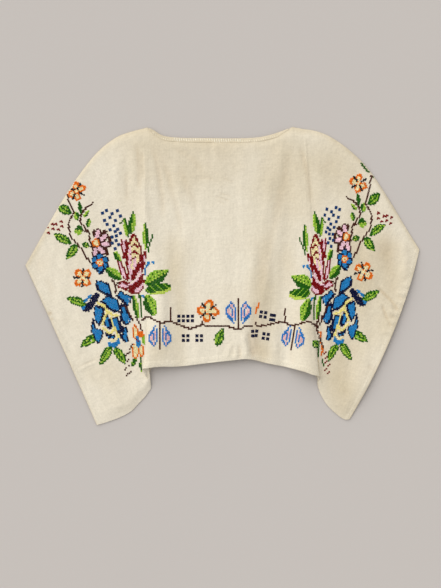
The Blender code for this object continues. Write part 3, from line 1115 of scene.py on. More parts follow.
def running_stitches(at, share):
    """Stitches and gaps, turn about, along a row given by column numbers and shares."""
    walked = walked_along(fine_front(at, share))
    begins = np.arange(RUN_GAP, walked[-1] - RUN_LENGTH, RUN_LENGTH + RUN_GAP)
    ends = begins + RUN_LENGTH
    from_points, normals = top_of_front(np.interp(begins, walked, at), np.interp(begins, walked, share))
    to_points, _ = top_of_front(np.interp(ends, walked, at), np.interp(ends, walked, share))
    size = np.ones(len(begins))
    sizes = (SEWING_WIDTH * size, SEWING_HEIGHT * size, SEWING_ARCH * size)
    return strands(from_points, to_points, normals, *sizes)


def cuff_row(side, distance):
    """Column numbers and shares of a row that keeps its distance from one cuff."""
    share = np.linspace(0.02, 0.98, 400)
    edge = np.full_like(share, 0.05 if side < 0 else LAST - 0.05)
    per_column = edge_distances(edge, share)[0] / 0.05
    at = distance / per_column
    return (at if side < 0 else LAST - at), share


rows = []
for depth in HEM_ROWS_OF_STITCHES:
    at = np.linspace(LEFT_NECK + 0.15, RIGHT_FLAP_START - 2.15, 900)
    rows.append(running_stitches(at, 1.0 - depth / open_surface(at, np.ones_like(at))[1]))
for side in (-1, 1):
    rows.append(running_stitches(*cuff_row(side, CUFF_HEM - STITCH_LINE)))

neck_walk = band_edge_walk(np.array([LEFT_NECK + 1.0, RIGHT_NECK - 1.0]))
places = np.arange(neck_walk[0], neck_walk[1], BAND_STITCH_SPACING)
on_band = np.interp(places, band_edge_walk(NECK_COLUMNS), NECK_COLUMNS)
below = np.interp(places + WHIP_SLANT, band_edge_walk(NECK_COLUMNS), NECK_COLUMNS)
length = open_surface(on_band, np.ones_like(on_band))[1]
whipped = bell(column_lines(on_band)[0][:, 0] - WHIPPED_MIDDLE, WHIPPED_REACH) > 0.5
band_share = np.where(whipped, *WHIP_TOPS) / length
band_points = front_surface(on_band, band_share)
band_normals = normals_at(front_surface, on_band, band_share)
band_points[:, 2] += BAND_LIFT
band_points += band_normals * (BAND_SWELL / 2)
cloth_points, _ = top_of_front(below, (BAND_WIDTH + WHIP_FOOT) / length)
size = np.ones(len(places))
whip_sizes = (np.where(whipped, *WHIP_WIDTHS), WHIP_HEIGHT * size, WHIP_ARCH * size)
rows.append(strands(band_points, cloth_points, band_normals, *whip_sizes))

points, faces, uv = join_strands(rows)
sewing_thread = thread_material("sewing_thread", linear(250, 243, 222), 0.1)
sewing = piece_from("hem_and_neck_stitches", points, faces, sewing_thread, [("thread", uv)])
print("sewn with", len(faces) // 14, "stitches")

# %% [markdown]
# ## Counted cross-stitch
#
# Each flower is worked in small crosses on a squared grid that follows the weave, as it would be from a
# paper chart. So the design is charted first: a chart is a squared grid of places on the cloth, turned with
# the grain, and every leaf, petal, stem and bead colours the squares that lie inside its own simple shape.
# Later shapes cover earlier ones. Then each coloured square becomes two crossed strands of thread.
#
# The two bouquets mirror each other, but the cloth of the right sleeve lies narrower, so the left chart is
# carried over by a smooth map that takes a few known places to where they lie on the right.

# %% Thread colours
STITCH = 2.7  # side of one square
THREADS = {
    # screen colours of 0 to 255
    "navy": (5, 13, 58),
    "blue": (38, 138, 202),
    "bead blue": (18, 62, 118),
    "crimson": (134, 2, 8),
    "pink": (255, 214, 226),
    "rose": (252, 206, 204),
    "orange": (242, 120, 14),
    "cream": (255, 240, 186),
    "yellow": (255, 240, 150),
    "lime": (206, 228, 96),
    "light green": (146, 196, 54),
    "dark green": (34, 100, 8),
    "brown": (78, 34, 22),
    "black": (26, 24, 34),
    "sky": (44, 130, 208),
}
COLOURS = list(THREADS)
EMPTY = -1

# %% Charts of squares
def new_chart(left, right, low, high, turn):
    """A squared grid turned counter-clockwise by an angle, with the squares between left and right in use."""
    middle_x, middle_y = (left + right) / 2, (low + high) / 2
    reach = int(np.hypot(right - left, high - low) / 2 / STITCH) + 2
    across, up = np.meshgrid(np.arange(-reach, reach + 1), np.arange(-reach, reach + 1))
    x = middle_x + STITCH * (across * np.cos(turn) - up * np.sin(turn))
    y = middle_y + STITCH * (across * np.sin(turn) + up * np.cos(turn))
    inside = (x >= left) & (x < right) & (y >= low) & (y < high)
    return {
        "x": x[inside],
        "y": y[inside],
        "across": across[inside],
        "up": up[inside],
        "middle": (middle_x, middle_y),
        "turn": turn,
        "colour": np.full(int(inside.sum()), EMPTY),
    }


def colour_squares(chart, inside, colour):
    """Gives the squares inside a shape their thread."""
    chart["colour"][inside] = COLOURS.index(colour)


def along_and_across(chart, x, y, angle):
    """Distances of the squares from a point, along a direction and to its left."""
    from_x, from_y = chart["x"] - x, chart["y"] - y
    along = from_x * np.cos(angle) + from_y * np.sin(angle)
    return along, from_y * np.cos(angle) - from_x * np.sin(angle)


def distances_from(chart, starts, ends):
    """Distance of each square from each straight line between a start and an end."""
    squares = np.stack([chart["x"], chart["y"]], axis=-1)[:, None]
    line = ends - starts
    share = np.clip(((squares - starts) * line).sum(axis=-1) / (line**2).sum(axis=-1), 0.0, 1.0)
    return np.linalg.norm(squares - starts - line * share[..., None], axis=-1)


# %% Shapes that colour a chart
LEAF_FULLNESS = 0.75
EDGE = 0.85 * STITCH  # depth of a rim of one stitch
PATCH_EDGE = 0.76 * STITCH
FACES = 0.55  # cosine of the widest angle at which a side still faces a direction
FACES_SIDEWAYS = 0.6
PATCH_DEEP_EDGES = {"navy": 1.6 * STITCH, "crimson": 1.1 * STITCH}


def stitch_leaf(chart, base_x, base_y, tip_x, tip_y, width, dark):
    """A leaf: a sine arch to either side of its midrib, dark at the rim, on one half or all over."""
    length = np.hypot(tip_x - base_x, tip_y - base_y)
    along, across = along_and_across(chart, base_x, base_y, np.arctan2(tip_y - base_y, tip_x - base_x))
    share = np.clip(along / length, 0.0, 1.0)
    half_width = width / 2 * np.sin(np.pi * share**0.85) ** LEAF_FULLNESS
    inside = (along > 0.0) & (along < length) & (np.abs(across) <= half_width)
    near_rim = (half_width - np.abs(across) < EDGE) | (along < EDGE) | (length - along < EDGE)
    colour_squares(chart, inside, "light green")
    colour_squares(chart, inside & ((chart["across"] + 2 * chart["up"]) % 4 == 0), "lime")
    shade = {
        "rim": near_rim | ((np.abs(across) < 0.5 * STITCH) & (share < 0.8)) | (
            (across < 0.0) & ((chart["across"] - chart["up"]) % 3 == 0)
        ),
        "left": across > 0.0,
        "right": across < 0.0,
        "all": np.full(inside.shape, True),
        "specks right": (across < -0.08 * width) | ((2 * chart["across"] + chart["up"]) % 7 == 0),
    }[dark]
    colour_squares(chart, inside & shade, "dark green")
    if dark == "all":
        colour_squares(chart, inside & ((chart["across"] + chart["up"]) % 5 == 0), "light green")


FORMS = {"oval": (2.4, 0.5), "pointed": (1.7, 0.8)}  # how late the sides bend in, how sharply they end


def stitch_petal(chart, x, y, length, width, angle, rim, fill, form="oval", taper=0.0):
    """A petal of half width (1 - s to the p) to the q, times 1 + taper s, with s from -1 to 1 along it."""
    along, across = along_and_across(chart, x, y, np.radians(angle))
    share = np.clip(2.0 * along / length, -1.0, 1.0)
    late, sharp = FORMS[form]
    half_width = width / 2 * (1.0 - np.abs(share) ** late) ** sharp * (1.0 + taper * share)
    inside = (np.abs(2.0 * along) < length) & (np.abs(across) <= half_width)
    near_rim = (half_width - np.abs(across) < EDGE) | (length / 2 - np.abs(along) < EDGE)
    colour_squares(chart, inside, fill)
    colour_squares(chart, inside & near_rim, rim)


def stitch_patch(chart, rim, fill, deep, corners):
    """A petal between a few corners: its rim is deep on the sides that face a direction, or both ways."""
    corners = np.array(corners, float)
    ahead = np.roll(corners, -1, axis=0)
    side = ahead - corners
    turning = np.sign(corners[:, 0] @ ahead[:, 1] - corners[:, 1] @ ahead[:, 0])
    outward = np.stack([side[:, 1], -side[:, 0]], axis=-1) * turning
    outward /= np.linalg.norm(outward, axis=-1, keepdims=True)
    if deep is None:
        facing = np.zeros(len(corners), bool)
    elif deep == "sides":
        facing = np.abs(outward[:, 0]) > FACES_SIDEWAYS
    else:
        facing = outward @ np.array([np.cos(np.radians(deep)), np.sin(np.radians(deep))]) > FACES
    x, y = chart["x"][:, None], chart["y"][:, None]
    passes = (corners[:, 1] <= y) != (ahead[:, 1] <= y)
    rise = np.where(side[:, 1] == 0.0, 1.0, side[:, 1])
    right_of_it = corners[:, 0] + (y - corners[:, 1]) * side[:, 0] / rise > x
    inside = (passes & right_of_it).sum(axis=1) % 2 == 1
    depth = np.where(facing, PATCH_DEEP_EDGES.get(rim, PATCH_EDGE), PATCH_EDGE)
    near_rim = (distances_from(chart, corners, ahead) < depth).any(axis=1)
    colour_squares(chart, inside, fill)
    colour_squares(chart, inside & near_rim, rim)


def smooth_line(points, steps=14):
    """Catmull-Rom curve through a few points."""
    points = np.array(points, float)
    ends = np.concatenate([2 * points[:1] - points[1:2], points, 2 * points[-1:] - points[-2:-1]])
    share = np.linspace(0.0, 1.0, steps, endpoint=False)[:, None]
    pieces = []
    for before, start, end, after in zip(ends, ends[1:], ends[2:], ends[3:]):
        bend = 2 * before - 5 * start + 4 * end - after
        twist = 3 * start - before - 3 * end + after
        pieces.append(start + 0.5 * ((end - before) * share + bend * share**2 + twist * share**3))
    return np.concatenate([*pieces, points[-1:]])


STEM_HALF_WIDTH = 0.54  # in stitches
STEM_HALF_WIDTHS = {"yellow": 0.72, "crimson": 0.6, "black": 0.62}


def stitch_stem(chart, colour, points):
    """A line one stitch wide or a little more: the squares whose middle is near enough to a smooth curve."""
    line = smooth_line(points)
    distance = distances_from(chart, line[:-1], line[1:]).min(axis=1)
    colour_squares(chart, distance < STEM_HALF_WIDTHS.get(colour, STEM_HALF_WIDTH) * STITCH, colour)


def stitch_beads(chart, colour, count, places):
    """Small beads: two by two squares round each place, or three or two of the four."""
    cos, sin = np.cos(chart["turn"]), np.sin(chart["turn"])
    for x, y in places:
        from_x, from_y = x - chart["middle"][0], y - chart["middle"][1]
        across = chart["across"] - np.floor((from_x * cos + from_y * sin) / STITCH)
        up = chart["up"] - np.floor((from_y * cos - from_x * sin) / STITCH)
        bead = (across >= 0) & (across <= 1) & (up >= 0) & (up <= 1)
        if count == 3:
            bead &= across + up > 0
        elif count == 2:
            bead &= across == up
        colour_squares(chart, bead, colour)


CLOVER_CREAM = 0.34  # share of a petal's size: its cream part, and the ring and the eye of the centre
CLOVER_RING = 0.38
CLOVER_EYE = 0.27


def stitch_clover(chart, x, y, turn, half_angle, reach, size):
    """A clover of two pairs of petals, each an orange horseshoe round cream, with dark sepals between."""
    for angle in (turn - half_angle, turn + half_angle, turn + 180 - half_angle, turn + 180 + half_angle):
        direction = np.radians(angle)
        petal_x, petal_y = x + reach * np.cos(direction), y + reach * np.sin(direction)
        along, across = along_and_across(chart, petal_x, petal_y, direction)
        from_middle = np.hypot(along, across)
        colour_squares(chart, from_middle < size / 2, "orange")
        colour_squares(chart, np.hypot(along + 0.2 * size, 1.25 * across) < CLOVER_CREAM * size, "cream")
    from_centre = np.hypot(chart["x"] - x, chart["y"] - y)
    colour_squares(chart, from_centre < CLOVER_RING * size, "orange")
    colour_squares(chart, from_centre < CLOVER_EYE * size, "cream")
    for angle in (turn, turn + 90, turn + 180, turn + 270):
        direction = np.radians(angle)
        ends = [(x + r * np.cos(direction), y + r * np.sin(direction)) for r in (0.5 * reach, 1.35 * reach)]
        stitch_stem(chart, "black", ends)


def stitch_rosette(chart, x, y, angles, reach, length, width, rim, fill, eye):
    """A round flower: petals at the given angles and an eye of orange, cream and orange rings."""
    for angle in angles:
        direction = np.radians(angle)
        centre_x, centre_y = x + reach * np.cos(direction), y + reach * np.sin(direction)
        stitch_petal(chart, centre_x, centre_y, length, width, angle, rim, fill)
    from_centre = np.hypot(chart["x"] - x, chart["y"] - y)
    for radius, colour in ((eye, "orange"), (0.66 * eye, "cream"), (0.5 * STITCH, "orange")):
        colour_squares(chart, from_centre < radius, colour)


# %% The bouquet
LEAVES = (
    # base x, base y, tip x, tip y, width, where it is dark
    # along the twigs
    (-272, 112, -297, 126, 16, "rim"),
    (-260, 99, -264, 115, 10, "right"),
    (-254, 112, -258, 132, 7, "rim"),
    (-249, 104, -240, 116, 7, "right"),
    (-242, 85, -239, 104, 8, "left"),
    (-251, 80, -266, 82, 18, "right"),
    (-272, 58, -304, 75, 16, "rim"),
    (-261, 56, -280, 29, 16, "rim"),
    (-238, 53, -252, 56, 11, "rim"),
    # round the bloom
    (-183, 26, -195, 44, 11, "left"),
    (-181, -6, -212, 14, 17, "left"),
    (-169, 68, -176, 102, 10, "right"),
    (-164, 75, -160, 116, 12.5, "left"),
    (-137, 46, -139, 98, 10, "right"),
    (-139, -15, -97, 9, 24.5, "specks right"),
    # round the rose
    (-244, -53, -280, -40, 15.5, "rim"),
    (-225, -107, -255, -128, 16, "rim"),
    (-200, -126, -220, -160, 16, "rim"),
    (-194, -128, -174, -159, 15.5, "rim"),
    # below the bloom
    (-151, -77, -160, -34, 11, "left"),
    (-136, -35, -121, -73, 23.5, "specks right"),
)
LOWER_LEAF = (
    # base x, base y, tip x, tip y, width, where it is dark
    (-139, -27, -86, -20, 20, "all"),
)
PATCHES = (
    # rim, fill, direction in degrees in which the rim is deep, corners
    # the crimson bloom
    ("pink", "pink", None, ((-183, 64), (-172, 65), (-173, 45), (-175, 30), (-179, 35), (-183, 50))),
    ("crimson", "pink", 0, ((-190, 26), (-182, 26), (-175, 11), (-170, -10), (-178, -6), (-186, 11))),
    ("crimson", "cream", "sides", (
        (-159, 76), (-152, 67), (-145, 47), (-146, 26), (-153, 2), (-164, -8), (-171, 10), (-173, 42),
        (-168, 58),
    )),
    ("crimson", "crimson", None, (
        (-148, 25), (-150, 8), (-158, -7), (-166, -11), (-167, -3), (-162, 9), (-156, 19),
    )),
    ("pink", "pink", None, ((-145, 35), (-147, 11), (-154, -3), (-158, -5), (-151, 11))),
    ("crimson", "pink", 180, ((-139, 44), (-136, 40), (-138, 22), (-143, 9), (-146, 18), (-144, 35))),
    ("crimson", "pink", None, (
        (-188, -18), (-178, -8), (-171, -11), (-162, -15), (-168, -24), (-176, -25), (-185, -22),
    )),
    ("crimson", "pink", None, (
        (-140, -6), (-141, -21), (-149, -32), (-161, -33), (-159, -25), (-147, -15),
    )),
    ("crimson", "crimson", None, (
        (-140, 4), (-143, -10), (-153, -23), (-160, -30), (-168, -28), (-167, -21), (-155, -10), (-147, 1),
    )),
    # the blue rose
    ("navy", "blue", 245, (
        (-227, -9), (-217, -9), (-205, -15), (-198, -39), (-212, -35), (-224, -28), (-228, -19),
    )),
    ("navy", "blue", 230, (
        (-183, -26), (-176, -33), (-163, -37), (-164, -47), (-171, -57), (-182, -46), (-192, -37),
    )),
    ("navy", "navy", None, (
        (-219, -34), (-225, -46), (-239, -65), (-251, -65), (-252, -58), (-239, -47), (-235, -37),
        (-226, -31),
    )),
    ("navy", "blue", 240, (
        (-208, -36), (-196, -40), (-186, -46), (-184, -67), (-195, -66), (-207, -59), (-214, -50),
        (-221, -48),
    )),
    ("navy", "blue", 20, (
        (-230, -52), (-219, -55), (-211, -59), (-214, -79), (-221, -92), (-230, -80), (-231, -68),
    )),
    ("navy", "blue", 190, (
        (-184, -49), (-176, -54), (-171, -66), (-163, -79), (-169, -90), (-177, -88), (-184, -79),
    )),
    ("navy", "blue", None, (
        (-233, -77), (-227, -94), (-213, -99), (-217, -115), (-223, -124), (-228, -116), (-236, -100),
        (-235, -85),
    )),
    ("navy", "blue", -30, ((-208, -69), (-201, -79), (-198, -92), (-203, -99), (-212, -89), (-212, -77))),
    ("navy", "blue", -20, ((-201, -76), (-187, -75), (-180, -94), (-183, -109), (-193, -97), (-198, -87))),
    ("navy", "blue", 190, (
        (-179, -91), (-171, -94), (-169, -121), (-176, -120), (-184, -112), (-181, -103),
    )),
    ("navy", "blue", 90, ((-211, -102), (-201, -106), (-192, -105), (-194, -114), (-206, -113))),
    ("blue", "blue", None, (
        (-187, -111), (-184, -122), (-193, -130), (-205, -126), (-208, -118), (-201, -121), (-194, -121),
        (-190, -116),
    )),
)
PETALS = (
    # centre x, centre y, length, width, angle, rim, fill
    (-166, 10, 42, 5.5, 94, "pink", "pink"),
    (-166, 36, 34, 5.5, 92, "pink", "pink"),
    (-158, 22, 24, 6, 88, "pink", "pink"),
    (-242, -41, 24, 4.5, 47, "blue", "blue"),
    (-250, -59, 9, 5, 60, "blue", "blue"),
)
STEMS_UNDER = (
    # colour, points
    # twigs
    ("brown", ((-279, 148), (-275, 129), (-267, 114), (-276, 95), (-272, 70), (-256, 51), (-238, 23))),
    ("brown", ((-232, 131), (-249, 117), (-255, 98), (-241, 78), (-238, 62), (-230, 35))),
    ("brown", ((-251, 80), (-242, 79))),
    ("brown", ((-200, -7), (-192, -17), (-192, -31))),
    ("brown", ((-185, -11), (-192, -17))),
    # stalks and sprig round the bloom
    ("dark green", ((-125, 72), (-130, 58), (-134, 41))),
    ("dark green", ((-176, 101), (-184, 93))),
    ("dark green", ((-149, -34), (-147, -53), (-145, -74))),
    ("brown", ((-175, -53), (-166, -71), (-160, -80))),
    ("blue", ((-134, 20), (-138, 13), (-139, 1))),
)
STEMS_OVER = (
    # colour, points
    # lines of the bloom
    ("crimson", ((-181, 63), (-180, 48), (-177, 31))),
    ("crimson", ((-174, 63), (-172, 50), (-176, 35))),
    ("crimson", ((-160, 74), (-168, 60), (-172, 46), (-172, 22), (-168, -5))),
    ("crimson", ((-155, 65), (-147, 51), (-145, 34), (-147, 19), (-155, 2))),
    ("crimson", ((-140, 41), (-143, 31), (-142, 17))),
    ("pink", ((-145, 8), (-150, -3), (-158, -12), (-166, -17))),
    ("crimson", ((-187, -20), (-176, -24), (-166, -29))),
    ("crimson", ((-183, -11), (-174, -15), (-167, -20))),
    ("crimson", ((-164, 50), (-158, 56), (-152, 50))),
    ("crimson", ((-165, 38), (-158, 43), (-152, 39))),
    ("crimson", ((-164, 28), (-156, 33))),
    ("crimson", ((-144, 24), (-145, 7))),
    ("crimson", ((-166, -29), (-160, -32), (-151, -31))),
    # veins of the rose
    ("yellow", ((-225, -48), (-214, -55), (-206, -65), (-198, -71), (-188, -72))),
    ("yellow", ((-209, -68), (-212, -76), (-215, -88))),
    ("yellow", ((-201, -75), (-196, -89), (-191, -101), (-186, -111))),
    ("yellow", ((-214, -53), (-207, -62), (-200, -68))),
    ("cream", ((-203, -116), (-196, -118), (-190, -113))),
    ("yellow", ((-214, -94), (-202, -104), (-195, -97))),
    # stripes of the lower leaf
    ("lime", ((-126, -33), (-107, -31), (-90, -24))),
    ("lime", ((-118, -29), (-104, -28), (-92, -21))),
)
DOTS = (
    # colour, stitches in each, places
    # bead heads above the bloom
    ("bead blue", 4, (
        (-208, 116), (-188, 116), (-215, 111), (-197, 110), (-202, 104), (-183, 107), (-211, 100),
        (-192, 100), (-208, 91), (-194, 89), (-187, 84), (-203, 82), (-194, 79), (-184, 75), (-190, 71),
        (-198, 69), (-190, 62), (-198, 58), (-187, 54), (-193, 48),
    )),
    # berries
    ("crimson", 3, (
        (-290, 96), (-307, 92), (-299, 91), (-304, 83), (-314, 86), (-313, 77), (-295, 82), (-287, 87),
    )),
    # blue sprig
    ("blue", 3, ((-126, 23), (-134, 21), (-142, -37))),
)
AT_LEFT_FOLD = (
    (stitch_stem, (
        ("brown", ((-156, -74), (-149, -86), (-145, -99))),
    )),
    (stitch_leaf, (
        (-162, -164, -155, -145, 8, "all"),
        (-146, -173, -147, -145, 5.5, "all"),
    )),
    (stitch_petal, (
        (-156, -102, 30, 12, 97, "orange", "cream", "pointed", -0.2),
        (-146, -106, 13, 9, 120, "orange", "orange"),
        (-156, -135, 28, 13, 88, "orange", "cream"),
        (-146, -135, 21, 10.5, 97, "orange", "cream"),
        (-152, -119, 22, 8, 98, "blue", "blue"),
        (-141, -116, 16, 5.5, 90, "light green", "light green"),
    )),
    (stitch_stem, (
        ("crimson", ((-153, -116), (-152, -118))),
    )),
    (stitch_beads, (
        ("brown", 2, (
            (-163, -126), (-165, -132), (-167, -139), (-172, -143), (-169, -153), (-168, -164),
            (-175, -168), (-166, -173), (-170, -178),
        )),
    )),
)
AT_RIGHT_FOLD = (
    (stitch_stem, (
        ("orange", ((175, -101), (176, -117), (179, -130), (178, -144))),
        ("brown", ((170, -66), (172, -75), (169, -92), (171, -103), (176, -117), (181, -130))),
        ("brown", ((179, -73), (176, -84), (170, -95))),
        ("dark green", ((173, -127), (172, -144))),
        ("dark green", ((178, -149), (181, -161))),
    )),
    (stitch_leaf, (
        (174, -127, 160, -117, 14, "rim"),
    )),
    (stitch_beads, (
        ("crimson", 2, ((184, -139), (186, -147), (187, -155), (191, -161), (186, -170), (189, -175))),
    )),
)
CLOVERS = (
    # centre x, centre y, turn, half angle between a pair of petals, reach, petal size
    (-262, 151, 63, 35, 11, 13),
    (-251, -4, 88, 42, 12, 13.5),
    (-26, -64, 128, 47, 13, 15),
)
AT_RIGHT_SHOULDER = (
    (stitch_clover, (
        (244, 165, 120, 36, 11, 12),
        (253.5, 6.5, 102, 42, 12, 12.5),
    )),
    (stitch_leaf, (
        (249, 204, 264, 185, 7.5, "rim"),
        (271, 179, 276.5, 171, 4.5, "rim"),
    )),
)
HEM_BRANCHES = (
    # colour, points
    # branches
    ("brown", (
        (-143, -80), (-137, -74), (-130, -75), (-112, -84), (-94, -83), (-76, -89), (-58, -95), (-37, -89),
        (-24, -91), (3, -91), (17, -93), (22, -96), (33, -96), (40, -91), (54, -90),
    )),
    ("brown", (
        (57, -83), (63, -90), (78, -89), (103, -84), (118, -87), (132, -89), (145, -84), (156, -84),
        (171, -92),
    )),
    # spurs
    ("brown", ((-94, -58), (-93, -82))),
    ("brown", ((-37, -82), (-37, -89))),
    ("brown", ((114, -60), (112, -69), (113, -86))),
    ("orange", ((65, -50), (62, -59), (60, -68))),
)
HEM_DOTS = (
    # colour, stitches in each, places
    # above and below the left branch
    ("navy", 4, (
        (-79, -72), (-71, -72), (-62, -72), (-54, -72), (-79, -81), (-71, -81), (-62, -80), (-54, -80),
    )),
    ("navy", 4, (
        (-71, -109), (-63, -109), (-47, -107), (-39, -107), (-70, -117), (-63, -117), (-47, -116),
        (-39, -116),
    )),
    # and the right one
    ("navy", 4, ((70, -66), (77, -68), (87, -70), (94, -71), (69, -74), (76, -76), (86, -78), (93, -79))),
    ("navy", 4, (
        (54, -100), (61, -100), (75, -104), (83, -105), (53, -107), (60, -109), (74, -112), (81, -113),
    )),
)
HEM_LEAF = (
    # base x, base y, tip x, tip y, width, where it is dark
    (-11, -126, 1, -95, 17, "rim"),
)
TULIPS = (
    # stem x, stem upper y, stem lower y, wings begin y, upwards, narrow wings
    (-111, -86, -132, -128, -1, True),
    (28, -42, -95, -85, 1, False),
    (130, -88, -132, -130, -1, True),
)
PAIRS = (
    # left x, left y, right x, right y
    (-262, 149, 240, 159),
    (-226, 58, 221, 69),
    (-220, 22, 219, 28),
    (-252, -4, 253, 8),
    (-162, 96, 168, 96),
    (-119, -4, 145, -12),
    (-212, -22, 220, -16),
    (-235, -49, 242, -40),
    (-221, -72, 231, -64),
    (-197, -115, 211, -111),
    (-176, -105, 192, -104),
    (-210, -143, 222, -136),
    (-302, 87, 293, 101),
    (-271, 42, 264, 55),
    (-288, 66, 279, 84),
    (-284, 119, 272, 137),
    (-152, -119, 171, -112),
    (-279, 148, 269, 181),
    (-197, 98, 195, 101),
    (-170, -178, 186, -174),
    (-129, -53, 148, -63),
    (-154, -30, 170, -32),
    (-264, -46, 269, -36),
    (-240, -117, 247, -110),
    (-184, -143, 197, -136),
)
DAISY_SHADE = (
    # the same columns as PETALS
    (-203, 62, 19, 6, 98, "brown", "brown"),
    (-208, 44, 17, 7, -70, "brown", "brown"),
    (-214, 75, 16, 8, 48, "brown", "brown"),
    (-231, 76, 12, 4, 96, "brown", "brown"),
    # lowest petal of the blue flower
    (-219, 9, 13, 13, -88, "navy", "blue"),
)
ROSETTES = (
    # x, y, petals' angles, reach, petal length, petal width, rim, fill, eye
    # daisy
    (-227, 58.5, (80, 37, -9, -54, -94), 16, 19.5, 12.5, "brown", "pink", 7.4),
    # blue flower
    (-220, 23, (150, 92, 28, -32, -86, -148), 9.5, 15, 14.5, "navy", "blue", 6.9),
)

# %% Chart the left bouquet
BOUQUET_LOW, BOUQUET_HIGH = -190.0, 178.0
GRAIN_STRIPS = (
    # left, right, turn in degrees
    (-325.0, -236.0, 26.0),
    (-236.0, -168.0, 15.0),
    (-168.0, -92.0, 3.0),
)


def stitch_all(chart, shapes):
    """Colours a chart with several tables of shapes, in order."""
    for stitch, table in shapes:
        for row in table:
            stitch(chart, *row)


bouquet_shapes = (
    (stitch_stem, STEMS_UNDER),
    (stitch_leaf, LEAVES),
    (stitch_leaf, LOWER_LEAF),
    (stitch_patch, PATCHES),
    (stitch_petal, PETALS),
    (stitch_petal, DAISY_SHADE),
    (stitch_rosette, ROSETTES),
    (stitch_stem, STEMS_OVER),
    (stitch_beads, DOTS),
)


def corners_of(chart):
    """Corners of the coloured squares: lower left, upper right, upper left and lower right, and colours."""
    used = chart["colour"] != EMPTY
    corners = []
    for across, up in ((-0.5, -0.5), (0.5, 0.5), (-0.5, 0.5), (0.5, -0.5)):
        step_x = STITCH * (across * np.cos(chart["turn"]) - up * np.sin(chart["turn"]))
        step_y = STITCH * (across * np.sin(chart["turn"]) + up * np.cos(chart["turn"]))
        corners.append(np.stack([chart["x"][used] + step_x, chart["y"][used] + step_y], axis=-1))
    return np.stack(corners, axis=1), chart["colour"][used]


def corners_of_all(charts):
    """The same for several charts."""
    parts = [corners_of(chart) for chart in charts]
    return np.concatenate([part[0] for part in parts]), np.concatenate([part[1] for part in parts])


def chart_bouquet(shapes):
    """Corners and colours of a bouquet, charted strip by strip on the left."""
    charts = []
    for left, right, turn in GRAIN_STRIPS:
        charts.append(new_chart(left, right, BOUQUET_LOW, BOUQUET_HIGH, np.radians(turn)))
        stitch_all(charts[-1], shapes)
    return corners_of_all(charts)


left_shapes = (*bouquet_shapes, (stitch_clover, CLOVERS[:2]), *AT_LEFT_FOLD)
left_corners, left_colours = chart_bouquet(left_shapes)
print("the left bouquet takes", len(left_colours), "stitches")

# %% Carry it over to the right sleeve
MAP_SOFTNESS = 9.0  # in millimetres


def to_right(points):
    """Mirror image on the right: the best straight map of the pairs, and the rest shared by nearness."""
    left, right = np.split(np.array(PAIRS, float), 2, axis=1)
    lifted = np.concatenate([left, np.ones((len(left), 1))], axis=1)
    straight = np.linalg.lstsq(lifted, right, rcond=None)[0]
    rest = right - lifted @ straight
    flat = points.reshape(-1, 2)
    distance = np.linalg.norm(flat[:, None] - left[None], axis=-1)
    nearness = 1.0 / (distance**2 + MAP_SOFTNESS**2) ** 1.5
    nearness /= nearness.sum(axis=1, keepdims=True)
    moved = np.concatenate([flat, np.ones((len(flat), 1))], axis=1) @ straight + nearness @ rest
    return moved.reshape(points.shape)


right_corners, right_colours = chart_bouquet(bouquet_shapes)
right_corners = to_right(right_corners)
fold_chart = new_chart(155.0, 196.0, -182.0, -60.0, np.radians(-3.0))
stitch_all(fold_chart, AT_RIGHT_FOLD)
shoulder_chart = new_chart(225.0, 285.0, -20.0, 210.0, np.radians(-24.0))
stitch_all(shoulder_chart, AT_RIGHT_SHOULDER)
fold_corners, fold_colours = corners_of_all([fold_chart, shoulder_chart])

# %% The band above the hem
ROSE_WING = (
    "...s...",
    "...ss..",
    "..srrs.",
    ".ssrrs.",
    "ss.sr.s",
    "srr.s.s",
    "srr.srs",
    "srr.srs",
    "ssrrsrs",
    ".ssrsrs",
    ".sssrrs",
    "..sss.s",
    "...ss.s",
    "....s..",
    ".....s.",
)
WING_THREADS = {"s": "sky", "r": "rose"}


def stitch_tulip(chart, stem_x, stem_top, stem_foot, wing_foot, upwards, narrow):
    """A tulip from its small chart: one wing on each side of a stem, hanging where upwards is -1.

    A narrow wing leaves out the column in the middle of the chart.
    """
    lean = np.tan(chart["turn"])
    foot_x = stem_x + lean * (stem_top - stem_foot)
    stitch_stem(chart, "brown", ((stem_x, stem_top), (foot_x, stem_foot)))
    wing_x = stem_x + lean * (stem_top - wing_foot)
    if not chart["x"].min() < wing_x < chart["x"].max():
        return
    middle = np.argmin(np.hypot(chart["x"] - wing_x, chart["y"] - wing_foot))
    from_across = chart["across"] - chart["across"][middle]
    from_up = (chart["up"] - chart["up"][middle]) * upwards
    first = 0 if upwards > 0 else len(ROSE_WING) - 1
    for row, line in enumerate(reversed(ROSE_WING)):
        wing = line[:3] + line[4:] if narrow else line
        for column, letter in enumerate(reversed(wing)):
            if letter == ".":
                continue
            height = row if upwards > 0 else row - first
            here = (np.abs(from_across) == column + 2) & (from_up == height)
            colour_squares(chart, here, WING_THREADS[letter])


BAND_STRIPS = (
    # left, right, turn in degrees
    (-146.0, 57.0, 0.0),
    (57.0, 176.0, -9.0),
)
band_shapes = (
    (stitch_stem, HEM_BRANCHES),
    (stitch_leaf, HEM_LEAF),
    (stitch_clover, CLOVERS[2:]),
    (stitch_tulip, TULIPS),
    (stitch_beads, HEM_DOTS),
)
band_charts = [new_chart(left, right, -138.0, -38.0, np.radians(turn)) for left, right, turn in BAND_STRIPS]
for chart in band_charts:
    stitch_all(chart, band_shapes)
hem_corners, hem_colours = corners_of_all(band_charts)
print("the band above the hem takes", len(hem_colours), "stitches")

# %% Find each stitch's place on the cloth
SEARCH_COLUMNS = 8  # places tried in each column
SEARCH_ROWS = 100
NEWTON_STEPS = 6
MISS = 0.4  # a place further off than this is on cloth that is folded away
LEFT_OVER_FOLD = LEFT_NECK
RIGHT_OVER_FOLD = NAMES.index("right over fold")
FOLD_CLEAR = 1.2
FOLD_REACH = 6.0  # columns beside a fold that may lie under it


